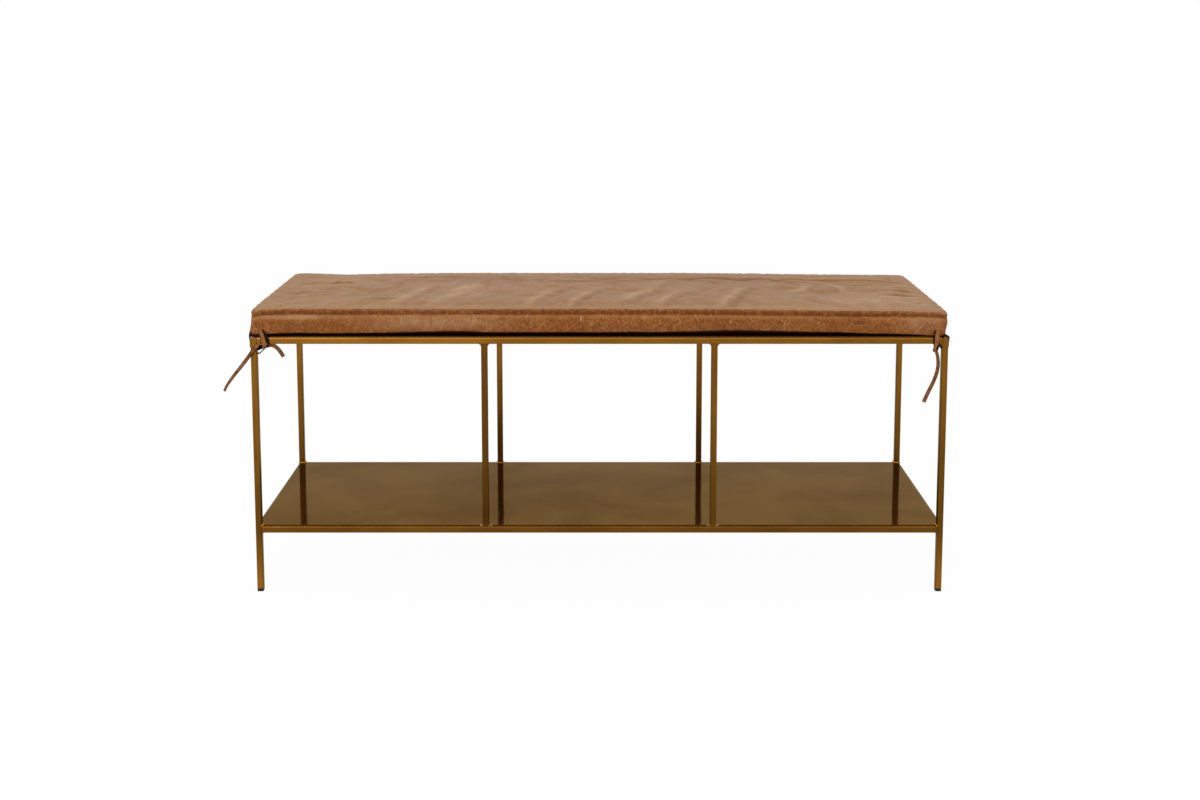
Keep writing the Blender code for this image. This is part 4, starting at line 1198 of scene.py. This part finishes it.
def make_welds():
    """Beads in the corners where bars meet: at the feet of the uprights, under the seat and on the shelf."""
    bm = bmesh.new()
    seed = 1
    for x_side, y_side in ((-1, -1), (-1, 1), (1, -1), (1, 1)):
        front = y_side * LEG_Y

        def bead_at(x, reach, height, radius, add):
            bead(bm, (x, front - reach, height), (x, front + reach, height), radius, seed + add)

        bead_at(x_side * (LEG_X - HALF_BAR), HALF_BAR * 0.6, SHELF_TOP, 0.0024, 0)
        bead_at(x_side * (LEG_X - HALF_BAR), 0.0035, SEAT_UNDER, 0.0010, 1)
        foot = front - y_side * HALF_BAR
        for k, x in enumerate((x_side * LEG_X, x_side * POST_X)):
            bead(bm, (x - 0.0042, foot, SHELF_TOP), (x + 0.0042, foot, SHELF_TOP), 0.0018, seed + 60 + k)
        for side in (-1, 1):
            bead_at(x_side * POST_X + side * HALF_BAR, 0.004, SHELF_TOP, 0.0013, 2 + side)
            bead_at(x_side * POST_X + side * HALF_BAR, 0.0035, SEAT_UNDER, 0.0010, 5 + side)
        seed += 11
    # The welds' brass is brighter all over and on what faces up: a painted glint
    small_parts("welds", bm, brass("brass_weld", 0, 1.5, painted_top_light=1.5))


# How light each bar is, as the photo shows, partly painted light and shade; a rail has the tones of both its
# ends, a painted falloff of light, and a painted light on what faces up
UPRIGHT_TONES = {
    "leg_front_left": 1.0, "leg_front_right": 0.82, "leg_back_left": 1.05, "leg_back_right": 1.02,
    "post_front_left": 0.54, "post_front_right": 0.76, "post_back_left": 0.98, "post_back_right": 0.88,
}
RAIL_TONES = {
    "seat_rail_front": (1.25, 0.88, 3.2), "seat_rail_back": (0.9, 0.8, 1.4),
    "shelf_rail_front": (0.68, 0.55, 2.1), "shelf_rail_back": (0.5, 0.4, 0.6),
    "shelf_rail_left": (0.5, 0.5, 0.45), "shelf_rail_right": (0.5, 0.5, 0.45),
}
USUAL_TONES = (0.8, 0.7, 1.4)


def dress_frame(glide):
    """Bars get the finish that runs along them."""
    for name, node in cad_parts.items():
        if name in UPRIGHT_TONES:
            finish = brass(f"brass_{name}", 2, UPRIGHT_TONES[name], inner=1 if name.endswith("left") else -1)
        elif "rail" in name or "cross_bar" in name:
            along = 0 if name.endswith(("front", "back")) else 1
            left, right, top = RAIL_TONES.get(name, USUAL_TONES)
            finish = brass(f"brass_{name}", along, left, right, painted_top_light=top)
        elif name == "shelf_sheet":
            dark, bright = (0.120, 0.058, 0.014), (0.185, 0.100, 0.030)
            finish = polished_sheet("polished_shelf", dark, bright, 0.05, (0.56, 0.50, 0.43))
        elif name == "seat_deck":
            # The deck is near black so that the gap under the cushion reads as deep shade: a painted shade
            dark, bright = (0.045, 0.022, 0.007), (0.075, 0.038, 0.013)
            finish = polished_sheet("deck_sheet", dark, bright, 0.34, (0.22, 0.17, 0.12))
        elif name.startswith("glide"):
            finish = glide
        else:
            continue
        node.data.materials.clear()
        node.data.materials.append(finish)


# Stage

def white_floor():
    """Diffuse white for the light it gives the bench; what looks at it sees white and a faint shadow."""
    finish = Finish("white_floor")
    finish.nodes.remove(finish.shader)
    plain = finish.add("ShaderNodeBsdfDiffuse", {"Color": (0.90, 0.90, 0.90)}).outputs[0]
    white = finish.add("ShaderNodeEmission", {"Color": (1, 1, 1), "Strength": 1.0}).outputs[0]
    mix = finish.add("ShaderNodeMixShader", {0: finish.times(finish.seen(), 0.97), 1: plain, 2: white})
    finish.feed(finish.nodes["Material Output"].inputs["Surface"], mix.outputs[0])
    return finish.material


def make_stage():
    half = 20.0
    corners = [(-half, -half, 0), (half, -half, 0), (half, half, 0), (-half, half, 0)]
    floor = new_piece("floor", corners, [(0, 1, 2, 3)], [white_floor()])
    world = bpy.data.worlds.new("studio")
    bpy.context.scene.world = world
    world.use_nodes = True
    studio = Nodes(world.node_tree)
    background = studio.nodes["Background"].inputs
    studio.feed(background["Color"], (1, 1, 1))
    studio.feed(background["Strength"], studio.spread(studio.seen(), 0, 1, 0.72, 1.0))


def soft_light(name, place, aim, size, power):
    data = bpy.data.lights.new(name, "AREA")
    data.shape = "SQUARE"
    data.size = size
    data.energy = power
    lamp = in_scene(name, data)
    lamp.location = place
    lamp.rotation_euler = (Vector(aim) - Vector(place)).to_track_quat("-Z", "Y").to_euler()


def make_lights():
    soft_light("key", (-1.9, -1.9, 2.1), (0, 0, 0.35), 1.6, 26)
    soft_light("fill", (2.2, -1.6, 1.6), (0, 0, 0.30), 1.8, 8)
    soft_light("top", (0.2, 0.9, 2.4), (0, 0, 0.40), 2.0, 8)


make_camera()
# Near black for the laces' cut edges and backs; where a back faces the front it is a painted shade
lace_edge_and_shade = lace_leather("lace_edge_and_shade", (0.006, 0.0022, 0.001), (0.024, 0.008, 0.003), 0.70, 0.08)
lace_face = lace_leather("lace_face", (0.170, 0.050, 0.008), (0.350, 0.135, 0.034), 0.50, 0.22)
tail_face = lace_leather("tail_face", (0.105, 0.032, 0.005), (0.290, 0.112, 0.032), 0.55, 0.15)
make_tails([tail_face, lace_edge_and_shade])
make_ties([lace_face, lace_edge_and_shade])
cushion = make_cushion(cover_leather("cover_leather"))
make_zip(cushion, zip_tape("zip_tape"), brass("brass_zip", 0, 0.95))
make_stitches(cushion, lace_leather("thread", (0.120, 0.050, 0.014), (0.260, 0.120, 0.040), 0.60, 0.25))
dress_frame(glide_plastic("glide"))
make_welds()
make_stage()
make_lights()
bpy.context.scene.view_settings.view_transform = "Standard"
